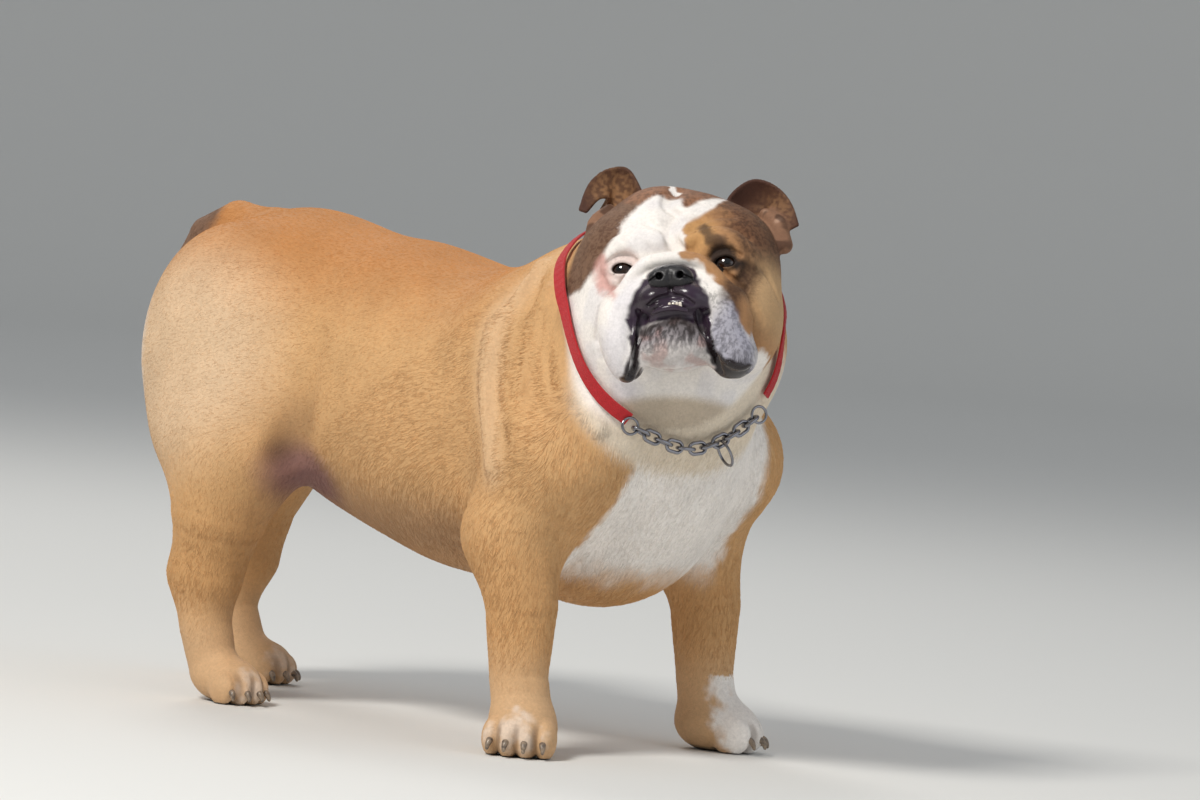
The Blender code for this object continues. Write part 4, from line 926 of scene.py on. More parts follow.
def body_marks(points, normals, ragged):
    """Fawn with a darker back, paler thighs, and white on buttocks, chest and throat, with painted
    shade in hollows and underneath and a painted highlight on a shoulder roll.
    """
    x, y, z = points.T
    colour = np.tile(FAWN, (len(points), 1))
    back = smooth_step(z + ragged, 0.29, 0.375) * smooth_step(y, 0.06, 0.14)
    colour = blended(colour, SADDLE, back * 0.85)
    for i in SIDES.values():
        thigh = spot_mask(points, (i * 0.13, 0.4, 0.275), (0.09, 0.085, 0.085), 0.5)
        colour = blended(colour, PALE, 0.75 * thigh)
    buttock = smooth_step(y + ragged, 0.445, 0.475) * smooth_step(z + ragged, 0.165, 0.235)
    buttock *= smooth_step(ragged - z, -0.34, -0.28)
    colour = blended(colour, WHITE, 0.7 * buttock)
    # painted shade where the skin of the trunk faces the floor
    under = smooth_step(-normals[:, 2], 0.35, 0.85) * smooth_step(y, 0.06, 0.12)
    under *= smooth_step(z, 0.08, 0.12) * (1 - smooth_step(y, 0.36, 0.44))
    colour = blended(colour, BELLY_SHADE, 0.8 * under)
    # pink bare skin with painted shade of the gap between thigh and belly, on the near side only
    groin_skin_and_shade = spot_mask(points, (-0.045, 0.318, 0.205), (0.045, 0.05, 0.045), 0.4)
    groin_skin_and_shade = np.maximum(groin_skin_and_shade, spot_mask(points, (-0.078, 0.292, 0.19), (0.044, 0.036, 0.024), 0.5))
    colour = blended(colour, GROIN_SKIN_AND_SHADE, 0.85 * groin_skin_and_shade)
    # painted shade along the hollow in front of the near thigh
    flank_shade = band_mask(points, FLANK_LINE, 0.012, 0.8) * smooth_step(-z, -0.27, -0.2)
    colour = blended(colour, HOLLOW_SHADE, 0.75 * flank_shade)
    colour = blended(colour, TAN, 0.6 * smooth_step(-z, -0.19, -0.12))
    colour = blended(colour, PALE, 0.35 * smooth_step(-z, -0.1, -0.04))
    front = smooth_step(-normals[:, 1] + ragged * 8 - 4 * np.maximum(z - 0.25, 0), -0.05, 0.35)
    chest = front * smooth_step(x + ragged, -0.092, -0.08) * smooth_step(-x + ragged, -0.108, -0.094)
    chest *= smooth_step(z + ragged, 0.125, 0.155) * smooth_step(ragged - z, -0.335, -0.3)
    chest *= smooth_step(-y, -0.055, -0.02)
    colour = blended(colour, WHITE, chest)
    throat = spot_mask(points, (-0.045, -0.055, 0.285), (0.098, 0.075, 0.06), 0.12)
    colour = blended(colour, CREAM, throat)
    near_cheek = spot_mask(points, (-0.1, -0.045, 0.325), (0.052, 0.046, 0.062), 0.12)
    colour = blended(colour, WHITE, near_cheek)
    # painted highlight along the top of the roll behind the near shoulder
    colour = blended(colour, PALE, 0.35 * band_mask(points, RIDGE_HIGHLIGHT_LINE, 0.014, 0.8))
    stub = smooth_step(y + ragged, 0.462, 0.48) * smooth_step(z, 0.335, 0.345) * (np.abs(x + 0.005) < 0.035)
    return blended(colour, STUB, 0.85 * stub)


def paw_marks(colour, points, ragged):
    """White toes, most of all on the far fore paw, with painted shade in the gaps between them."""
    z = points[:, 2]
    for side in SIDES:
        for feet, size in ((FORE_FEET, FORE_SIZE), (HIND_FEET, HIND_SIZE)):
            fx, fy, turn = feet[side]
            foot = Place((fx, fy, 0), turned("Z", turn)).local(points)
            here = (np.abs(foot[:, 0]) < 0.05) * (np.abs(foot[:, 1]) < 0.06) * (z < 0.06)
            white = feet is FORE_FEET and side == "left"
            start = 0.008 if white else 0.033 * size
            tips = smooth_step(-foot[:, 1] + ragged * 1.6 + 0.2 * z, start, start + 0.012) * here
            colour = blended(colour, WHITE, (1.0 if white else 0.4) * tips)
            # painted shade in the gaps between the toes
            gaps = np.min([np.abs(foot[:, 0] - gap) for gap in (-0.014 * size, 0.0, 0.014 * size)], axis=0)
            between = (1 - smooth_step(gaps, 0.0008, 0.0035)) * smooth_step(-z, -0.03, -0.02) * here
            between *= smooth_step(-foot[:, 1], 0.018 * size, 0.026 * size)
            colour = blended(colour, BROWN, 0.45 * between)
    return colour


print("body colours", len(body_marks(points[:100], vertex_normal[:100], 0)))


# %% Colours of the face and the ears
def face_marks(points, ragged):
    """Colours of the face, with how far each point is lip and how far it is the rim of an eye."""
    q = HEAD.local(points)
    hx, hy, hz = q.T
    fine = grain(points, 0.0016, 5)
    cloudy = grain(points, 0.014, 7)
    flat = q[:, [0, 2]] + (ragged * 0.5)[:, None]
    ahead = smooth_step(-hy, 0.03, 0.04)
    face = np.tile(WHITE, (len(points), 1))
    face = blended(face, SHADE, 0.5 * smooth_step(cloudy, 0.45, 0.75))
    fringe = outline_mask(flat, FRINGE, 0.003)
    face = blended(face, TICKED, fringe)
    face = blended(face, BROWN, fringe * smooth_step(fine, 0.45, 0.7) * 0.7)
    crown = outline_mask(flat, CROWN, 0.0025) * (1 - stroke_mask(flat, STRIPE, 0.0024, 0.001))
    face = blended(face, CROWN_BROWN, crown)
    face = blended(face, BROWN, crown * smooth_step(fine, 0.45, 0.7) * 0.6)
    patch = outline_mask(flat, PATCH_AREA, 0.002)
    face = blended(face, PATCH, patch)
    face = blended(face, GOLD, patch * spot_mask(q, (0.018, -0.05, 0.022), (0.016, 0.03, 0.018), 0.5) * 0.8)
    dusk = patch * smooth_step(hx + 0.55 * hz + ragged, 0.05, 0.072) * smooth_step(hz, -0.012, 0.012)
    face = blended(face, BROWN * 1.5, dusk * 0.85)
    face = blended(face, BROWN * 0.8, dusk * smooth_step(fine, 0.4, 0.65) * 0.8)
    cheek = patch * spot_mask(q, (0.074, -0.015, -0.022), (0.024, 0.05, 0.03), 0.5)
    face = blended(face, CHEEK_TAN, 0.85 * cheek)
    # painted shade in the fold below the left eye
    fold_shade = stroke_mask(flat, FOLD_SHADE_LINE, [0.008, 0.009, 0.0075, 0.003], 0.005)
    face = blended(face, BROWN * 0.6, fold_shade * (1 - fine * 0.25))
    face = blended(face, BLACKISH, 0.95 * outline_mask(flat, EYE_MASK, 0.003) * ahead)
    brow = stroke_mask(flat, BROW_SPOT, [0.004, 0.0035, 0.005], 0.003)
    face = blended(face, BLACKISH * 1.5, 0.75 * brow * ahead)
    beside = stroke_mask(flat, RIGHT_RIM, [0.004, 0.006, 0.005, 0.002], 0.004)
    face = blended(face, RIM_PINK, 0.85 * beside * ahead)
    sore = np.linalg.norm((flat + (EYE_SPACING / 2, 0.0)) / (1.0, 0.75), axis=1)
    face = blended(face, RIM_PINK * 0.8, 0.35 * (1 - smooth_step(sore, 0.011, 0.017)) * ahead)
    face = blended(face, LILAC, 0.55 * outline_mask(flat, RIGHT_FLEW, 0.004))
    flew = outline_mask(flat, LEFT_FLEW, 0.004) * smooth_step(-hy, 0.026, 0.038)
    # grey hair and painted shade on the left flew, strongest on its outer, lower part
    face = blended(face, FLEW_GREY_AND_SHADE, 0.75 * flew * smooth_step(0.75 * hx - hz, 0.055, 0.085))
    face = face * (1 - 0.45 * flew * smooth_step(0.52 - fine, -0.02, 0.16))[:, None]
    chin = outline_mask(flat, CHIN_AREA, 0.003) * smooth_step(-hy, 0.04, 0.052)
    locks = grain(q * (1.0, 1.0, 0.3), 0.0013, 15)
    face = blended(face, CHIN, 0.9 * chin)
    face = blended(face, WHITE, 0.55 * chin * smooth_step(-hz, 0.064, 0.08))
    face = blended(face, RIM_PINK * 0.75, 0.45 * chin * smooth_step(grain(points, 0.007, 9), 0.52, 0.72))
    dark_locks = chin * smooth_step(0.56 - locks, -0.02, 0.16) * smooth_step(hz, -0.088, -0.062)
    face = face * (1 - 0.8 * dark_locks)[:, None]
    face = blended(face, BLACKISH * 1.6, 0.85 * chin * smooth_step(hz + ragged, -0.07, -0.057))
    # painted shade under the chin
    under_chin_shade = smooth_step(-hz, 0.086, 0.094) * smooth_step(hy, -0.062, -0.05)
    face = blended(face, UNDER_CHIN_SHADE, under_chin_shade * 0.8)
    lip = outline_mask(flat, UPPER_LIP, 0.002)
    lip = np.maximum(lip, stroke_mask(flat, RIGHT_LIP, [0.0035, 0.003, 0.0028, 0.003, 0.0035, 0.002]))
    left_widths = [0.004, 0.0035, 0.0035, 0.0045, 0.0065, 0.0065, 0.0045]
    lip = np.maximum(lip, stroke_mask(flat, LEFT_LIP, left_widths))
    lip = np.maximum(lip, outline_mask(flat, NOSE_EDGE, 0.0015)) * ahead
    face = blended(face, LIP, lip)
    darker = np.maximum(0.5 * smooth_step(cloudy, 0.4, 0.7), 0.9 * smooth_step(-hz, 0.055, 0.075))
    face = blended(face, BLACKISH, lip * darker)
    rims = np.zeros(len(points))
    for i in SIDES.values():
        away = np.linalg.norm((q - (i * EYE_SPACING / 2, EYE_DEPTH, 0)) / (0.95, 1.0, 0.68), axis=1)
        rims = np.maximum(rims, (1 - smooth_step(away, 0.0124, 0.0142)) * (hy < -0.045))
    return blended(face, BLACKISH, rims), lip, rims


def ear_marks(colour, points):
    """Brown flaps with a lighter fold, over the brown rolls of the burr, which carry pink patches of
    painted highlight and dark patches of painted shade.
    """
    q = HEAD.local(points)
    ears = np.zeros(len(points))
    burr = np.zeros(len(points))
    hairy = grain(points, 0.0022, 12)
    for side, shell in EAR_SHELLS.items():
        root = HEAD.at(BURRS[side][-1])
        close = np.linalg.norm(points - root, axis=1) < 0.075
        away = shell.distance(points[close])
        ears[close] = np.maximum(ears[close], 1 - smooth_step(away, 0.0015, 0.0035))
        burr[close] = np.maximum(burr[close], band_mask(q[close], BURRS[side], 0.0085, 0.25))
    colour = blended(colour, EAR_BROWN, ears)
    folded = spot_mask(q, (-0.052, 0.01, 0.082), (0.016, 0.03, 0.018), 0.6)
    folded = np.maximum(folded, 0.6 * spot_mask(q, (0.072, 0.008, 0.058), (0.018, 0.03, 0.016), 0.6))
    colour = blended(colour, PATCH * 0.8, ears * folded * (0.25 + 0.6 * smooth_step(hairy, 0.35, 0.7)))
    burr = burr * ears
    colour = blended(colour, BURR, 0.9 * burr)
    # pink patches of painted highlight and dark patches of painted shade on the burr, placed by noise
    colour = blended(colour, EAR_PINK_HIGHLIGHT, 0.6 * burr * smooth_step(grain(points, 0.009, 13), 0.5, 0.65))
    return blended(colour, EAR_BROWN * 0.6, 0.7 * burr * smooth_step(grain(points, 0.007, 14), 0.52, 0.7))


def markings(points, normals):
    """Colour, wetness and bareness at points of the skin, all in the dog's own frame."""
    ragged = (grain(points, 0.012) - 0.5) * 0.01 + (grain(points, 0.004, 3) - 0.5) * 0.006
    colour = paw_marks(body_marks(points, normals, ragged), points, ragged)
    pads = smooth_step(-normals[:, 2], 0.75, 0.95) * (points[:, 2] < 0.004)
    colour = blended(colour, PAD, pads)
    q = HEAD.local(points)
    head = spot_mask(q, (0.002, -0.03, -0.012), (0.096, 0.085, 0.116), 0.05)
    head = head * smooth_step(-q[:, 1], -0.052, -0.036)
    face, lip, rims = face_marks(points, ragged)
    colour = ear_marks(blended(colour, face, head), points)
    wet = lip * head
    bare = np.maximum(np.maximum(wet, rims * head), pads)
    return np.clip(colour, 0.002, 1), wet, bare


EAR_SHELLS = {side: ear(side) for side in SIDES}
BURRS = {
    "right": [(-0.066, 0.002, 0.038), (-0.0655, 0.0, 0.056), (-0.056, 0.008, 0.07)],
    "left": [(0.079, 0.002, 0.03), (0.0745, 0.0, 0.046), (0.065, 0.008, 0.058)],
}
skin_colour, skin_wet, _ = markings(points, vertex_normal)
print("white share of the skin", round(float((skin_colour[:, 2] > 0.5).mean()), 2))

# %% [markdown]
# ## Materials as expressions
# A finish is easier to read as a formula than as a drawing of nodes. A small class stands for a socket,
# and the usual operators add the maths nodes behind it, so `1 - mask` or `0.4 + 0.2 * noise` is enough.


# %% A socket that can be calculated with
class Shade:
    def __init__(self, tree, link):
        self.tree, self.link = tree, link

    def math(self, operation, *values):
        return node(
            self.tree, "ShaderNodeMath", {"operation": operation, "use_clamp": False},
            dict(enumerate(values)),
        )

    def __add__(self, other):
        return self.math("ADD", self, other)

    def __sub__(self, other):
        return self.math("SUBTRACT", self, other)

    def __rsub__(self, other):
        return self.math("SUBTRACT", other, self)

    def __mul__(self, other):
        return self.math("MULTIPLY", self, other)

    __radd__, __rmul__ = __add__, __mul__

    def mixed(self, other, amount):
        """This colour blended towards another one."""
        settings = {"data_type": "RGBA", "clamp_result": True}
        return node(self.tree, "ShaderNodeMix", settings, {0: amount, 6: self, 7: other}, 2)

    def part(self, low, high, to_low=0.0, to_high=1.0):
        """Value between two limits, stretched to two others."""
        return node(
            self.tree, "ShaderNodeMapRange", {"clamp": True},
            {0: self, 1: low, 2: high, 3: to_low, 4: to_high},
        )


def node(tree, kind, settings=None, values=None, output=0):
    """Adds a node: its settings first, then what its sockets get."""
    made = tree.nodes.new(kind)
    for name, value in (settings or {}).items():
        setattr(made, name, value)
    for name, value in (values or {}).items():
        socket = made.inputs[name]
        if isinstance(value, Shade):
            tree.links.new(value.link, socket)
        elif isinstance(value, (tuple, list, np.ndarray)):
            value = [float(v) for v in value]
            socket.default_value = value + [1.0] * (len(socket.default_value) - len(value))
        else:
            socket.default_value = value
    return Shade(tree, made.outputs[output])


def noise(tree, size, detail=2.0, rough=0.5):
    """Noise about this many metres across, in the object's own space."""
    place = node(tree, "ShaderNodeTexCoord", output=3)
    values = {"Vector": place, "Scale": 1 / size, "Detail": detail, "Roughness": rough}
    return node(tree, "ShaderNodeTexNoise", {}, values)


def finish_of(name, **sockets):
    """New material: a Principled shader whose sockets get these values or expressions."""
    material = bpy.data.materials.new(name)
    material.use_nodes = True
    tree = material.node_tree
    shader = next(n for n in tree.nodes if n.type == "BSDF_PRINCIPLED")

    def fill(**sockets):
        for label, value in sockets.items():
            socket = shader.inputs[label.replace("_", " ")]
            if isinstance(value, Shade):
                tree.links.new(value.link, socket)
            elif isinstance(value, (tuple, list, np.ndarray)):
                socket.default_value = [float(v) for v in value] + [1.0] * (4 - len(value))
            else:
                socket.default_value = value

    fill(**sockets)
    return material, tree, fill


def relief(tree, height, depth, distance=0.001):
    return node(tree, "ShaderNodeBump", {}, {"Height": height, "Strength": depth, "Distance": distance})


# %% [markdown]
# ## Skin finish
# Skin under a short coat is soft and dull, while the lips, the lids and the pads are bare, darker and
# wet. One material carries both: the markings come from the mesh, and a mask of wetness lowers the
# roughness and adds a thin coat of shine.

# %% Skin material
def coat_finish(name, bump, gloss):
    material, tree, fill = finish_of(name, IOR=1.45)
    tint = node(tree, "ShaderNodeAttribute", {"attribute_name": "Markings"})
    masks = node(tree, "ShaderNodeAttribute", {"attribute_name": "Wetness"}, output=2)
    speck = noise(tree, 0.0025, 3, rough=0.7)
    cloud = noise(tree, 0.035, 2)
    value = speck.part(0.25, 0.75, 0.86, 1.08) * cloud.part(0.3, 0.7, 0.94, 1.05)
    shaded = node(tree, "ShaderNodeVectorMath", {"operation": "SCALE"}, {0: tint, 3: value})
    rough = 0.62 + 0.18 * speck - 0.48 * masks
    height = noise(tree, 0.0011, 2, rough=0.6) * (1 - 0.6 * masks)
    fill(Base_Color=shaded, Roughness=rough, Coat_Weight=masks * 0.35, Normal=relief(tree, height, bump))
    fill(Sheen_Weight=gloss, Sheen_Roughness=0.5, Specular_IOR_Level=0.35, Coat_Roughness=0.2)
    fill(Sheen_Tint=srgb(240, 226, 205))
    return material


skin_finish = coat_finish("Skin", 0.35, 0.08)
fur_finish = coat_finish("Fur", 0.0, 0.12)


# %% [markdown]
# ## A map of the skin
# Baked colours need a flat map in which no two places share a spot. The skin is cut into patches that
# all face roughly the same of six ways, each patch is projected along its way, and the patches are
# packed in shelves like books. The map follows the animal's shape and not any view of it.


# %% Patches and their shelves
def patches_of(points, quads, normals):
    """A number for each quad: the connected patch that faces one way."""
    way = np.argmax(np.column_stack([normals, -normals]), axis=1)
    edges = np.sort(np.stack([quads, np.roll(quads, -1, axis=1)], 2).reshape(-1, 2), axis=1)
    code = edges[:, 0] * len(points) + edges[:, 1]
    owner = np.repeat(np.arange(len(quads)), 4)
    order = np.argsort(code, kind="stable")
    same = code[order][1:] == code[order][:-1]
    a, b = owner[order][:-1][same], owner[order][1:][same]
    for _ in range(6):
        votes = np.zeros((len(quads), 6))
        for first, second in ((a, b), (b, a)):
            np.add.at(votes, (first, way[second]), 1)
        votes[np.arange(len(quads)), way] += 1.5
        way = np.argmax(votes, axis=1)
    joined = way[a] == way[b]
    a, b = a[joined], b[joined]
    label = np.arange(len(quads))
    while True:
        lowest = label.copy()
        np.minimum.at(lowest, a, label[b])
        np.minimum.at(lowest, b, label[a])
        lowest = lowest[lowest]
        if (lowest == label).all():
            break
        label = lowest
    _, label = np.unique(label, return_inverse=True)
    return way, label.ravel()


def atlas(points, quads, normals, margin=0.002):
    """Map coordinates of every quad corner, in a unit square."""
    way, label = patches_of(points, quads, normals)
    axis = way % 3
    flat = np.array([[1, 2], [2, 0], [0, 1]])[axis]
    spots = points[quads]
    index = np.arange(len(quads))[:, None]
    u = spots[index, np.arange(4)[None], flat[:, 0][:, None]] * np.where(way < 3, 1, -1)[:, None]
    v = spots[index, np.arange(4)[None], flat[:, 1][:, None]]
    count = label.max() + 1
    low = np.full((count, 2), np.inf)
    high = np.full((count, 2), -np.inf)
    for column in range(4):
        place = np.column_stack([u[:, column], v[:, column]])
        np.minimum.at(low, label, place)
        np.maximum.at(high, label, place)
    size = high - low + margin
    order = np.argsort(-size[:, 1])
    width = math.sqrt(float(size.prod(1).sum())) * 1.08
    spot, cursor, shelf, tall = np.zeros((count, 2)), 0.0, 0.0, 0.0
    for patch in order:
        if cursor + size[patch, 0] > width and cursor > 0:
            cursor, shelf, tall = 0.0, shelf + tall, 0.0
        spot[patch] = cursor, shelf
        cursor += size[patch, 0]
        tall = max(tall, size[patch, 1])
    full = max(width, shelf + tall)
    place = np.stack(
        [u - low[label, 0][:, None], v - low[label, 1][:, None]], 2,
    ) + spot[label][:, None] + margin / 2
    print(count, "patches,", round(full, 3), "m of map a side")
    return place / full


skin_map = atlas(points, quads, face_normal)


# %% One helper makes every mesh piece
def mesh_piece(
    name, points, faces, material, slot, stands_for, smooth=True, corners=None, colours=None, wet=None,
):
    """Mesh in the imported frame, with its finish, the nodes it stands for and its ride."""
    mesh = bpy.data.meshes.new(name)
    faces = np.asarray(faces)
    mesh.vertices.add(len(points))
    mesh.vertices.foreach_set("co", (np.asarray(points) + SHIFT).astype(np.float32).ravel())
    mesh.loops.add(faces.size)
    mesh.loops.foreach_set("vertex_index", faces.astype(np.int32).ravel())
    mesh.polygons.add(len(faces))
    mesh.polygons.foreach_set("loop_start", np.arange(0, faces.size, faces.shape[1], dtype=np.int32))
    mesh.polygons.foreach_set("use_smooth", np.full(len(faces), smooth))
    if corners is not None:
        mesh.uv_layers.new(name="OFBake").data.foreach_set("uv", corners.astype(np.float32).ravel())
    if colours is not None:
        rgba = np.column_stack([colours, np.ones(len(colours))]).astype(np.float32)
        mesh.color_attributes.new("Markings", "FLOAT_COLOR", "POINT").data.foreach_set("color", rgba.ravel())
        mesh.attributes.new("Wetness", "FLOAT", "POINT").data.foreach_set("value", wet.astype(np.float32))
    mesh.update(calc_edges=True)
    mesh.validate()
    made = bpy.data.objects.new(name, mesh)
    scene.collection.objects.link(made)
    mesh.materials.append(material)
    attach(made, "root")
    if stands_for:
        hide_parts(*stands_for)
    return made


FLESH_NODES = ["torso", "neck", "head", "tail", "ear_right", "ear_left"]
FLESH_NODES += [kind + "_" + side for kind in ("foreleg", "hindleg", "forepaw", "hindpaw") for side in SIDES]
looks = {"corners": skin_map, "colours": skin_colour, "wet": skin_wet}
mesh_piece("skin", points, quads, skin_finish, "fawn_coat", FLESH_NODES, **looks)

# %% [markdown]
# ## The coat
# A bulldog's coat is short and lies flat, so at arm's length it reads as a surface. Up close it is
# hair all the same: it breaks the outline by a millimetre, it blurs the edge of each marking, and it
# shades the folds. Each tuft is a slim closed spike rooted in the skin that lies along the body. Where
# a real hair points can be said in a few words: away from the nose on the head, back along the trunk,
# down on the legs.


# %% Lie and length of the hair
def lie_of(points, normals):
    """Direction in which the coat lies, in the plane of the skin."""
    q = HEAD.local(points)
    body = np.tile((0.0, 1.0, -0.35), (len(points), 1))
    down = smooth_step(-points[:, 2], -0.235, -0.165)
    front = smooth_step(-normals[:, 1], 0.2, 0.7) * smooth_step(-points[:, 1], -0.05, 0.0)
    body += np.maximum(down, front)[:, None] * (np.array((0, 0.25, -1.0)) - body)
    rump = smooth_step(points[:, 1], 0.43, 0.5)[:, None]
    body += rump * (np.array((0, 0.3, -1.0)) - body)
    away = q - (0.001, -0.088, 0.012)
    away[:, 2] += 0.02 * smooth_step(-q[:, 2], 0.02, 0.05) * -4
    head = away @ HEAD.turn.T
    share = 1 - smooth_step(np.linalg.norm(q / (0.95, 1.0, 1.05), axis=1), 0.085, 0.115)
    head /= np.maximum(np.linalg.norm(head, axis=1), 1e-6)[:, None]
    lie = body + (head - body) * share[:, None]
    paws = smooth_step(-points[:, 2], -0.045, -0.03)[:, None]
    lie += paws * (np.array((0, -1.0, -0.3)) - lie)
    lie -= (lie * normals).sum(1)[:, None] * normals
    return lie / np.maximum(np.linalg.norm(lie, axis=1), 1e-6)[:, None]


def reach_of(points):
    """Length and half width of a tuft: least on face, ears and feet, most on neck, chest and rump."""
    q = np.linalg.norm(HEAD.local(points), axis=1)
    face = 1 - smooth_step(q, 0.095, 0.135)
    paws = 1 - smooth_step(points[:, 2], 0.03, 0.1)
    small = np.maximum(face, paws)
    local = HEAD.local(points)
    beside = np.abs(local[:, 0])
    ears = smooth_step(beside, 0.04, 0.05) * smooth_step(local[:, 2] + 0.4 * beside, 0.07, 0.08)
    length = (BODY_HAIR + (FACE_HAIR - BODY_HAIR) * small) * (1 - 0.5 * ears)
    width = 0.00052 + (0.00026 - 0.00052) * small
    return length, width


# %% Tufts rooted over the whole skin
def tufts(count, seed):
    random = np.random.default_rng(seed)
    q = np.linalg.norm(HEAD.local(corner.mean(1)), axis=1)
    share = face_area * (1 + 3.2 * (1 - smooth_step(q, 0.1, 0.13)))
    share *= 1 + 1.2 * (1 - smooth_step(corner[:, 0, 2], 0.02, 0.07))
    pick = random.choice(len(quads), count, p=share / share.sum())
    a, b = random.random((2, count, 1))
    weights = [(1 - a) * (1 - b), a * (1 - b), a * b, (1 - a) * b]
    root = sum(w * corner[pick, i] for i, w in enumerate(weights))
    spot = sum(w * skin_map[pick, i] for i, w in enumerate(weights))
    normal = sum(w * vertex_normal[quads[pick, i]] for i, w in enumerate(weights))
    normal /= np.linalg.norm(normal, axis=1)[:, None]
    colour, wet, bare = markings(root, normal)
    kept = bare < 0.25
    inner = np.zeros(count, bool)
    for i in SIDES.values():
        away = np.linalg.norm(root - HEAD.at((i * EYE_SPACING / 2, EYE_DEPTH, 0)), axis=1)
        inner |= away < 0.0143
    inner |= np.linalg.norm(root - HEAD.at(NOSE_SPOT), axis=1) < 0.02
    kept &= ~inner & (root[:, 2] > 0.003)
    root, spot, normal, colour = root[kept], spot[kept], normal[kept], colour[kept]
    n = len(root)
    length, width = reach_of(root)
    length = length * random.uniform(0.65, 1.15, n)
    lie = lie_of(root, normal)
    side = np.cross(normal, lie)
    swing = random.normal(0, 0.2, n)[:, None]
    lie, side = lie * np.cos(swing) + side * np.sin(swing), side * np.cos(swing) - lie * np.sin(swing)
    rise = random.uniform(0.02, 0.1, n)
    base = root - normal * 0.0004
    tip = root + lie * length[:, None]
    lift = flesh.by_cells(tip, lambda clay, spots: clay.distance(spots)) + coat_depth(tip)
    bend = rise - lift / length
    length *= 1 / (1 + 3 * np.abs(bend))
    bend *= 1 / (1 + 3 * np.abs(bend))
    tip = root + (lie + normal * bend[:, None]) * length[:, None]
    spine = base + normal * width[:, None] * 1.1 + lie * length[:, None] * 0.22
    left, right = base + side * width[:, None], base - side * width[:, None]
    spots = np.stack([left, right, spine, tip], 1).reshape(-1, 3)
    first = 4 * np.arange(n)[:, None]
    faces = (first[:, None] + np.array([[0, 2, 1], [0, 3, 2], [2, 3, 1], [0, 1, 3]])[None]).reshape(-1, 3)
    patch = np.array([(-0.0015, -0.0012), (0.0015, -0.0012), (0, 0.0002), (0, 0.0015)])
    place = np.clip(spot[:, None] + patch[None], 0, 1)
    corners = place[:, np.array([[0, 2, 1], [0, 3, 2], [2, 3, 1], [0, 1, 3]])].reshape(-1, 2)
    shade = random.uniform(0.92, 1.07, (n, 1))
    colour = np.clip(colour * shade, 0.002, 1)
    return spots, faces, corners, np.repeat(colour, 4, axis=0)


TUFTS_A_PIECE, FIRST_SEED = 46000, 11
pieces = 6
for number in range(pieces):
    spots, faces, places, colours = tufts(TUFTS_A_PIECE, FIRST_SEED + number)
    looks = {"smooth": False, "corners": places, "colours": colours, "wet": np.zeros(len(spots))}
    made = mesh_piece("coat_%d" % (number + 1), spots, faces, fur_finish, "fawn_coat", [], **looks)
    print(made.name, len(faces), "triangles")

# %% [markdown]
# ## Eyes, nose, teeth and claws
# These stay separate from the skin, as they are on the animal: a wet ball behind the lids, a pebbled
# leather pad with two nostrils, a glimpse of the lower front teeth, and blunt horn at each toe.


# %% Eyes
def grid_ball(centre, axes, radius, turns=64, rings=40, bulge=0.0):
    """Ball whose pole looks along the third axis, with a clear bulge there."""
    rows = [(0.0, 0.0, 1.0)]
    for ring in range(1, rings):
        tilt = math.pi * ring / rings
        for turn in range(turns):
            angle = 2 * math.pi * turn / turns
            rows.append((math.sin(tilt) * math.cos(angle), math.sin(tilt) * math.sin(angle), math.cos(tilt)))
    rows.append((0.0, 0.0, -1.0))
    unit = np.array(rows)
    tilt = np.arccos(np.clip(unit[:, 2], -1, 1))
    swell = 1 + bulge * np.exp(-((tilt / 0.55) ** 2))
    at = lambda ring, turn: 1 + (ring - 1) * turns + turn % turns
    faces = [(0, at(1, t), at(1, t + 1), at(1, t + 1)) for t in range(turns)]
    faces += [
        (at(r, t), at(r + 1, t), at(r + 1, t + 1), at(r, t + 1))
        for r in range(1, rings - 1) for t in range(turns)
    ]
    faces += [
        (at(rings - 1, t), len(rows) - 1, at(rings - 1, t + 1), at(rings - 1, t + 1))
        for t in range(turns)
    ]
    return centre + (unit * swell[:, None] * radius) @ axes.T, faces, tilt


def triangles_of(faces):
    """Every polygon as triangles, without the empty ones."""
    out = []
    for face in faces:
        for i in range(1, len(face) - 1):
            if len({face[0], face[i], face[i + 1]}) == 3:
                out.append((face[0], face[i], face[i + 1]))
    return np.array(out)


eye_finish, tree, fill = finish_of("Eye", Roughness=0.04, Coat_Weight=1.0, Coat_Roughness=0.02, IOR=1.38)
tilt_value = node(tree, "ShaderNodeAttribute", {"attribute_name": "Tilt"}, output=2)
fibres = noise(tree, 0.0009, 3)
iris = node(tree, "ShaderNodeRGB")
iris.link.default_value = (*srgb(38, 20, 11), 1)
pupil = tilt_value.part(0.22, 0.27)
limbus = tilt_value.part(0.55, 0.68)
white = tilt_value.part(0.86, 0.96)
shaded = node(
    tree, "ShaderNodeVectorMath", {"operation": "SCALE"}, {0: iris, 3: (0.55 + 0.7 * fibres) * pupil},
)
rim = shaded.mixed(tuple(srgb(14, 10, 10)), limbus)
fill(Base_Color=rim.mixed(tuple(srgb(60, 40, 36)), white))
for side, i in SIDES.items():
    look = HEAD_TURN @ np.array((i * 0.2, -1.0, 0.02))
    look /= np.linalg.norm(look)
    across = np.cross(look, (0, 0, 1))
    across /= np.linalg.norm(across)
    axes = np.stack([across, np.cross(look, across), look], 1)
    spots, faces, tilt = grid_ball(HEAD.at((i * EYE_SPACING / 2, EYE_DEPTH, 0)), axes, EYE_RADIUS, bulge=0.02)
    eye = mesh_piece(
        "eyeball_" + side, spots, triangles_of(faces), eye_finish, "dark_brown_eye", ["eye_" + side],
    )
    eye.data.attributes.new("Tilt", "FLOAT", "POINT").data.foreach_set("value", tilt.astype(np.float32))

# %% Nose leather
def even_lines(low, high, voxel):
    return tuple(np.arange(a, b + voxel, voxel) for a, b in zip(low, high))


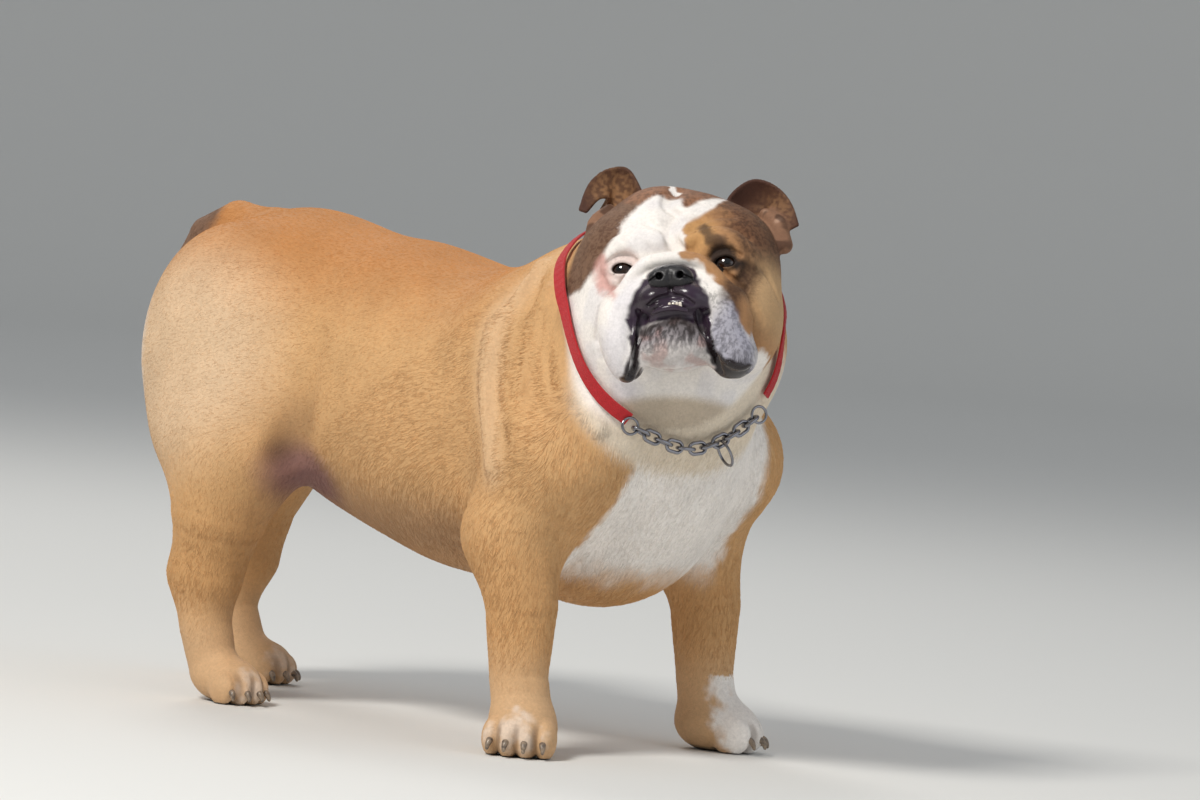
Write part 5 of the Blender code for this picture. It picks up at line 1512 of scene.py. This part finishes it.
bare_depth = lambda spots: np.zeros(len(spots))
middle = HEAD.at(NOSE_SPOT)
spots, faces, _ = skin_of(nose(), even_lines(middle - 0.026, middle + 0.026, 0.0006), bare_depth)
nose_finish, tree, fill = finish_of("Nose", Base_Color=srgb(22, 19, 23), Coat_Roughness=0.3, IOR=1.45)
place = node(tree, "ShaderNodeTexCoord", output=3)
pebbles = node(tree, "ShaderNodeTexVoronoi", {"feature": "SMOOTH_F1"}, {"Vector": place, "Scale": 1100})
fill(Roughness=0.34 + 0.25 * pebbles, Coat_Weight=0.3, Normal=relief(tree, 1 - pebbles, 0.6, 0.0008))
mesh_piece("nose_leather", spots, faces, nose_finish, "black_nose_leather", ["nose"])
print("nose", len(faces))


# %% Tubes for teeth, claws, rings and links
def tube(rows, radii, sides=12, closed=False, up=(0, 0, 1)):
    """Round rod along the rows, closed on itself or capped."""
    rows = np.array(rows, float)
    radii = np.array(radii, float) * np.ones(len(rows))
    n = len(rows)
    if closed:
        run = np.roll(rows, -1, axis=0) - np.roll(rows, 1, axis=0)
    else:
        run = np.gradient(rows, axis=0)
    run /= np.linalg.norm(run, axis=1)[:, None]
    across = np.cross(run, np.array(up, float))
    across /= np.linalg.norm(across, axis=1)[:, None]
    top = np.cross(across, run)
    turn = 2 * math.pi * np.arange(sides) / sides
    ring = across[:, None] * np.cos(turn)[None, :, None] + top[:, None] * np.sin(turn)[None, :, None]
    spots = (rows[:, None] + ring * radii[:, None, None]).reshape(-1, 3)
    faces = []
    for i in range(n if closed else n - 1):
        j = (i + 1) % n
        for k in range(sides):
            m = (k + 1) % sides
            faces.append((i * sides + k, i * sides + m, j * sides + m, j * sides + k))
    if not closed:
        spots = np.vstack([spots, rows[0], rows[-1]])
        for k in range(sides):
            m = (k + 1) % sides
            faces.append((n * sides, m, k))
            faces.append((n * sides + 1, (n - 1) * sides + k, (n - 1) * sides + m))
    tris = triangles_of(faces)
    volume = np.einsum("ij,ij->i", spots[tris[:, 0]], np.cross(spots[tris[:, 1]], spots[tris[:, 2]])).sum()
    return spots, tris if volume > 0 else tris[:, ::-1]


def joined(parts):
    """Several meshes as one."""
    spots, faces, first = [], [], 0
    for some, tris in parts:
        spots.append(some)
        faces.append(tris + first)
        first += len(some)
    return np.vstack(spots), np.vstack(faces)


# %% Teeth and claws
ivory, tree, fill = finish_of("Ivory", Roughness=0.22, Coat_Weight=0.4, IOR=1.5)
stain = noise(tree, 0.003, 2)
pale = node(tree, "ShaderNodeRGB")
pale.link.default_value = (*srgb(244, 236, 222), 1)
fill(Base_Color=pale.mixed(tuple(srgb(176, 142, 104)), stain * 0.25))
teeth = []
for x in (0.0, 0.0028, 0.0056, 0.0082):
    rows = smooth_line([(x, -0.0815, -0.0455), (x, -0.0829, -0.0432), (x, -0.0828, -0.0412)], 4)
    radii = np.interp(np.linspace(0, 1, len(rows)), [0, 0.5, 0.9, 1], [0.0013, 0.0014, 0.001, 0.0004])
    teeth.append(tube(HEAD.at(rows), radii, 12))
mesh_piece("lower_teeth", *joined(teeth), ivory, "tooth_ivory", ["teeth"])

horn, tree, fill = finish_of("Horn", Roughness=0.38, Coat_Weight=0.2, IOR=1.5)
grainy = noise(tree, 0.0035, 3)
dark = node(tree, "ShaderNodeRGB")
dark.link.default_value = (*srgb(66, 56, 52), 1)
fill(Base_Color=dark.mixed(tuple(srgb(168, 148, 126)), grainy.part(0.25, 0.65) * 0.8))
claws, claw_nodes = [], []
for side in SIDES:
    for kind, feet, size in (("fore", FORE_FEET, FORE_SIZE), ("hind", HIND_FEET, HIND_SIZE)):
        x, y, turn = feet[side]
        for number, (tx, ty) in enumerate(sorted(toes_of(size)), 1):
            rows = [(tx, ty - 0.007 * size, 0.013 * size), (tx, ty - 0.015 * size, 0.012 * size)]
            rows += [
                (tx * 1.04, ty - 0.018 * size, 0.0088 * size),
                (tx * 1.06, ty - 0.0194 * size, 0.0048 * size),
            ]
            rows = smooth_line(rows, 5)
            radii = np.interp(
                np.linspace(0, 1, len(rows)), [0, 0.35, 0.7, 0.93, 1],
                [0.0028, 0.0027, 0.002, 0.0013, 0.0004],
            )
            claws.append(tube(foot_frame(x, y, turn).at(rows), radii, 12, up=(0.3, 0.2, 1)))
            claw_nodes.append("claw_%s_%s_%d" % (kind, side, number))
mesh_piece("claws", *joined(claws), horn, "dark_horn", claw_nodes)

# %% [markdown]
# ## The collar
# It is a half-choke: flat red webbing round the nape that ends in two steel rings, and a short chain
# between them across the throat, with a larger ring for a lead. The webbing is woven in ribs and has
# stitched edges. The chain is welded wire, each link a quarter turn from the next.


# %% The band and the chain follow the neck
WHOLE = masses()
STRAP_WIDTH, STRAP_WALL, STRAP_LIFT = 0.0115, 0.002, 0.0018
LINK_LENGTH, LINK_WIDTH, LINK_WIRE = 0.0165, 0.0115, 0.0029
LEAD_RING, END_RING, RING_WIRE, LEAD_LINK = 0.023, 0.015, 0.0022, 7
PITCH = LINK_LENGTH - 2 * LINK_WIRE - 0.0007
THROAT_LINE = [
    (-0.0957, -0.0605, 0.262), (-0.0868, -0.0678, 0.2569), (-0.0595, -0.0807, 0.2518),
    (-0.0262, -0.0962, 0.2686),
]
THROAT_LINE += [(-0.014, -0.1, 0.2785)]
NAPE_LINE = [(-0.004, -0.103, 0.291), (0.002, -0.1045, 0.2985), (0.01, -0.106, 0.315)]
NAPE_OF_HEAD = [(0.08, 0.036, -0.035), (0.078, 0.058, 0.0), (0.062, 0.08, 0.03), (0.02, 0.092, 0.045)]
NAPE_OF_HEAD += [(-0.035, 0.08, 0.05), (-0.072, 0.04, 0.035)]
NAPE_LINE += list(HEAD.at(NAPE_OF_HEAD))
NAPE_LINE += [
    (-0.125, 0.0, 0.349), (-0.131, -0.0176, 0.3202), (-0.1235, -0.0296, 0.2908),
    (-0.11, -0.048, 0.272), (-0.104, -0.054, 0.2672),
]


def laid(points, level, steps=8):
    rows = WHOLE.settle(smooth_line(points, steps), level)
    out = WHOLE.slope(rows)
    return rows, out / np.linalg.norm(out, axis=1)[:, None]


def spaced(rows, count):
    runs = np.concatenate([[0], np.cumsum(np.linalg.norm(np.diff(rows, axis=0), axis=1))])
    marks = np.linspace(0, runs[-1], count)
    return np.stack([np.interp(marks, runs, rows[:, axis]) for axis in range(3)], 1), runs[-1]


def band_lines(points):
    """Middle of the band, the outward way and the way across it."""
    rows, _ = spaced(laid(points, STRAP_LIFT)[0], 40)
    for turn in range(6):
        out = WHOLE.slope(rows)
        for _ in range(3):
            out[1:-1] = (out[:-2] + 2 * out[1:-1] + out[2:]) / 4
        out /= np.linalg.norm(out, axis=1)[:, None]
        run = np.gradient(rows, axis=0)
        run /= np.linalg.norm(run, axis=1)[:, None]
        side = np.cross(run, out)
        side /= np.linalg.norm(side, axis=1)[:, None]
        room = np.min(
            [WHOLE.distance(rows + side * i * STRAP_WIDTH / 2) for i in (-1, -0.5, 0, 0.5, 1)], axis=0,
        )
        rows = rows + out * np.maximum(STRAP_LIFT - room, 0)[:, None]
        if turn < 4:
            rows[1:-1] = (rows[:-2] + 2 * rows[1:-1] + rows[2:]) / 4
    return rows, out, side


# %% Webbing
rows, out, side = band_lines(NAPE_LINE)
table = smooth_line(np.column_stack([rows, out, side]), 6)
rows, out, side = table[:, :3], table[:, 3:6], table[:, 6:9]
v = np.concatenate([np.linspace(-1, 1, 29), np.linspace(1, -1, 13)])
lift = np.concatenate([1.0 - 0.06 * (np.arange(29) % 2), np.full(13, 0.04)])
lift[[0, 28]] = 0.75
lift[[29, 41]] = 0.25
v[[0, 28]] = -0.995, 0.995
v[[29, 41]] = 0.995, -0.995
wave = 1 + 0.05 * np.sin(np.arange(len(rows)) * 1.9)[:, None]
heights = lift[None] * STRAP_WALL * np.where(lift[None] > 0.5, wave, 1)
spots = rows[:, None] + side[:, None] * (
    v * STRAP_WIDTH / 2
)[None, :, None] + out[:, None] * heights[:, :, None]
n, m = spots.shape[:2]
spots = spots.reshape(-1, 3)
faces = [
    (i * m + k, i * m + (k + 1) % m, (i + 1) * m + (k + 1) % m, (i + 1) * m + k)
    for i in range(n - 1) for k in range(m)
]
ends = [(len(spots), (k + 1) % m, k) for k in range(m)] + [
    (len(spots) + 1, (n - 1) * m + k, (n - 1) * m + (k + 1) % m)
    for k in range(m)
]
spots = np.vstack([spots, spots[:m].mean(0), spots[-m:].mean(0)])
tris = triangles_of(faces + ends)
if np.einsum("ij,ij->i", spots[tris[:, 0]], np.cross(spots[tris[:, 1]], spots[tris[:, 2]])).sum() < 0:
    tris = tris[:, ::-1]
webbing, tree, fill = finish_of("Webbing", Roughness=0.75, Sheen_Weight=0.25, Sheen_Roughness=0.4)
threads = noise(tree, 0.0007, 3, rough=0.7)
red = node(tree, "ShaderNodeRGB")
red.link.default_value = (*srgb(196, 24, 34), 1)
fill(
    Base_Color=red.mixed(tuple(srgb(120, 8, 18)), threads.part(0.35, 0.7) * 0.7),
    Normal=relief(tree, threads, 0.5),
)
mesh_piece("collar_band", spots, tris, webbing, "red_webbing", ["collar_strap"], smooth=False)

# %% Chain and rings
steel, tree, fill = finish_of("Steel", Base_Color=srgb(140, 140, 146), Metallic=1.0)
fill(Roughness=noise(tree, 0.004, 3).part(0.3, 0.7, 0.1, 0.24))


def link(centre, along, across, length, width, wire, points=28):
    reach, half = (length - wire) / 2, (width - wire) / 2
    turn = 2 * math.pi * (np.arange(points) + 0.5) / points
    x = half * np.cos(turn) + np.sign(np.cos(turn)) * (reach - half)
    rows = centre + x[:, None] * along + half * np.sin(turn)[:, None] * across
    return tube(rows, wire / 2, 12, closed=True, up=np.cross(along, across))


line, _ = laid(THROAT_LINE, 0.0068)
_, length = spaced(line, 2)
count = int(length / PITCH) + 1
line = spaced(line, 200)[0][: int(200 * (count - 1) * PITCH / length)]
line, _ = spaced(line, count)
line, out = laid(line, 0.0068, 1)
run = np.gradient(line, axis=0)
run /= np.linalg.norm(run, axis=1)[:, None]
links, rings = [], {}
for number in range(count):
    side = np.cross(run[number], out[number])
    side /= np.linalg.norm(side)
    top = np.cross(side, run[number])
    angle = math.radians(45 if number % 2 else -45)
    across = math.cos(angle) * side + math.sin(angle) * top
    through = np.cross(run[number], across)
    links.append(link(line[number], run[number], across, LINK_LENGTH, LINK_WIDTH, LINK_WIRE))
    if number == LEAD_LINK:
        ring = line[number] + across * (LEAD_RING - RING_WIRE) / 2
        rings["lead_ring"] = link(ring, through, across, LEAD_RING, LEAD_RING, RING_WIRE, 48)
    for end, last in ((-1, 0), (1, count - 1)):
        if number == last:
            ring = line[number] + end * run[number] * (0.003 + (END_RING - RING_WIRE) / 2)
            name = "end_ring_near" if end < 0 else "end_ring_far"
            rings[name] = link(ring, run[number], through, END_RING, END_RING, RING_WIRE, 40)
chain_nodes = ["chain_link_%02d" % (number + 1) for number in range(count)]
mesh_piece("throat_chain", *joined(links), steel, "polished_steel", chain_nodes)
mesh_piece("rings", *joined(rings.values()), steel, "polished_steel", list(rings))
print(count, "links")

# %% [markdown]
# ## Stage, light and camera
# The model stands on a pale plain floor that curves up into a wall far away on all sides, so that no
# horizon shows from any angle. A strong key from the right of the dog stands for the photo's sun, with a
# weak fill from ahead and a rim from behind, so that the folds and the coat both show. The camera stands
# where the photographer stood, six metres away and a little above the dog's back.

# %% Floor and lights
FLOOR_REACH, WALL_CURVE, WALL_TOP, TURNS = 7.5, 2.5, 5.0, 96
floor_finish, _, _ = finish_of("Floor", Base_Color=srgb(226, 226, 223), Roughness=0.95)
mesh = bpy.data.meshes.new("floor")
bends = np.linspace(0, math.pi / 2, 25)
profile = [(FLOOR_REACH + WALL_CURVE * math.sin(t), WALL_CURVE - WALL_CURVE * math.cos(t)) for t in bends]
profile += [(FLOOR_REACH + WALL_CURVE, WALL_TOP)]
around = 2 * math.pi * np.arange(TURNS) / TURNS
spots = [(0, 0, 0)] + [(run * math.cos(t), run * math.sin(t), up) for run, up in profile for t in around]
ring = lambda row, turn: 1 + row * TURNS + turn % TURNS
faces = [(0, ring(0, t), ring(0, t + 1)) for t in range(TURNS)]
for row in range(len(profile) - 1):
    faces += [(ring(row, t), ring(row + 1, t), ring(row + 1, t + 1), ring(row, t + 1)) for t in range(TURNS)]
mesh.from_pydata(spots, [], faces)
mesh.polygons.foreach_set("use_smooth", [True] * len(faces))
floor = bpy.data.objects.new("floor", mesh)
scene.collection.objects.link(floor)
mesh.materials.append(floor_finish)
print("floor", 2 * (FLOOR_REACH + WALL_CURVE), "m across")

world = bpy.data.worlds.new("Studio")
scene.world = world
scene.view_settings.view_transform = "Standard"
world.use_nodes = True
back = next(n for n in world.node_tree.nodes if n.type == "BACKGROUND")
back.inputs["Color"].default_value = (*srgb(226, 230, 236), 1)
back.inputs["Strength"].default_value = 0.46


def soft_light(name, spot, power, size, tint):
    data = bpy.data.lights.new(name, "AREA")
    data.energy, data.size, data.color = power, size, tint
    made = bpy.data.objects.new(name, data)
    scene.collection.objects.link(made)
    made.location = spot
    aim = mathutils.Vector((0, 0, 0.22)) - made.location
    made.rotation_mode = "QUATERNION"
    made.rotation_quaternion = aim.to_track_quat("-Z", "Y")
    return made


soft_light("key", (-2.9, -0.3, 2.9), 118, 0.9, (1.0, 0.97, 0.92))
soft_light("fill", (0.4, -3.2, 1.2), 13, 2.4, (0.9, 0.94, 1.0))
soft_light("rim", (1.5, 2.3, 2.6), 26, 1.0, (1.0, 0.97, 0.93))

# %% Camera and the last line
CAMERA_SPOT, LENS = (-4.677, -3.8618, 0.5399), 234
data = bpy.data.cameras.new("camera")
data.sensor_width, data.lens = 36, LENS
data.clip_end = 100
camera = bpy.data.objects.new("camera", data)
scene.collection.objects.link(camera)
right, upward, backward = (0.643, -0.761, 0.087), (-0.023, 0.095, 0.995), (-0.765, -0.642, 0.044)
turn = mathutils.Matrix((right, upward, backward)).transposed()
camera.matrix_world = mathutils.Matrix.Translation(np.array(CAMERA_SPOT) + SHIFT) @ turn.to_4x4()
scene.camera = camera
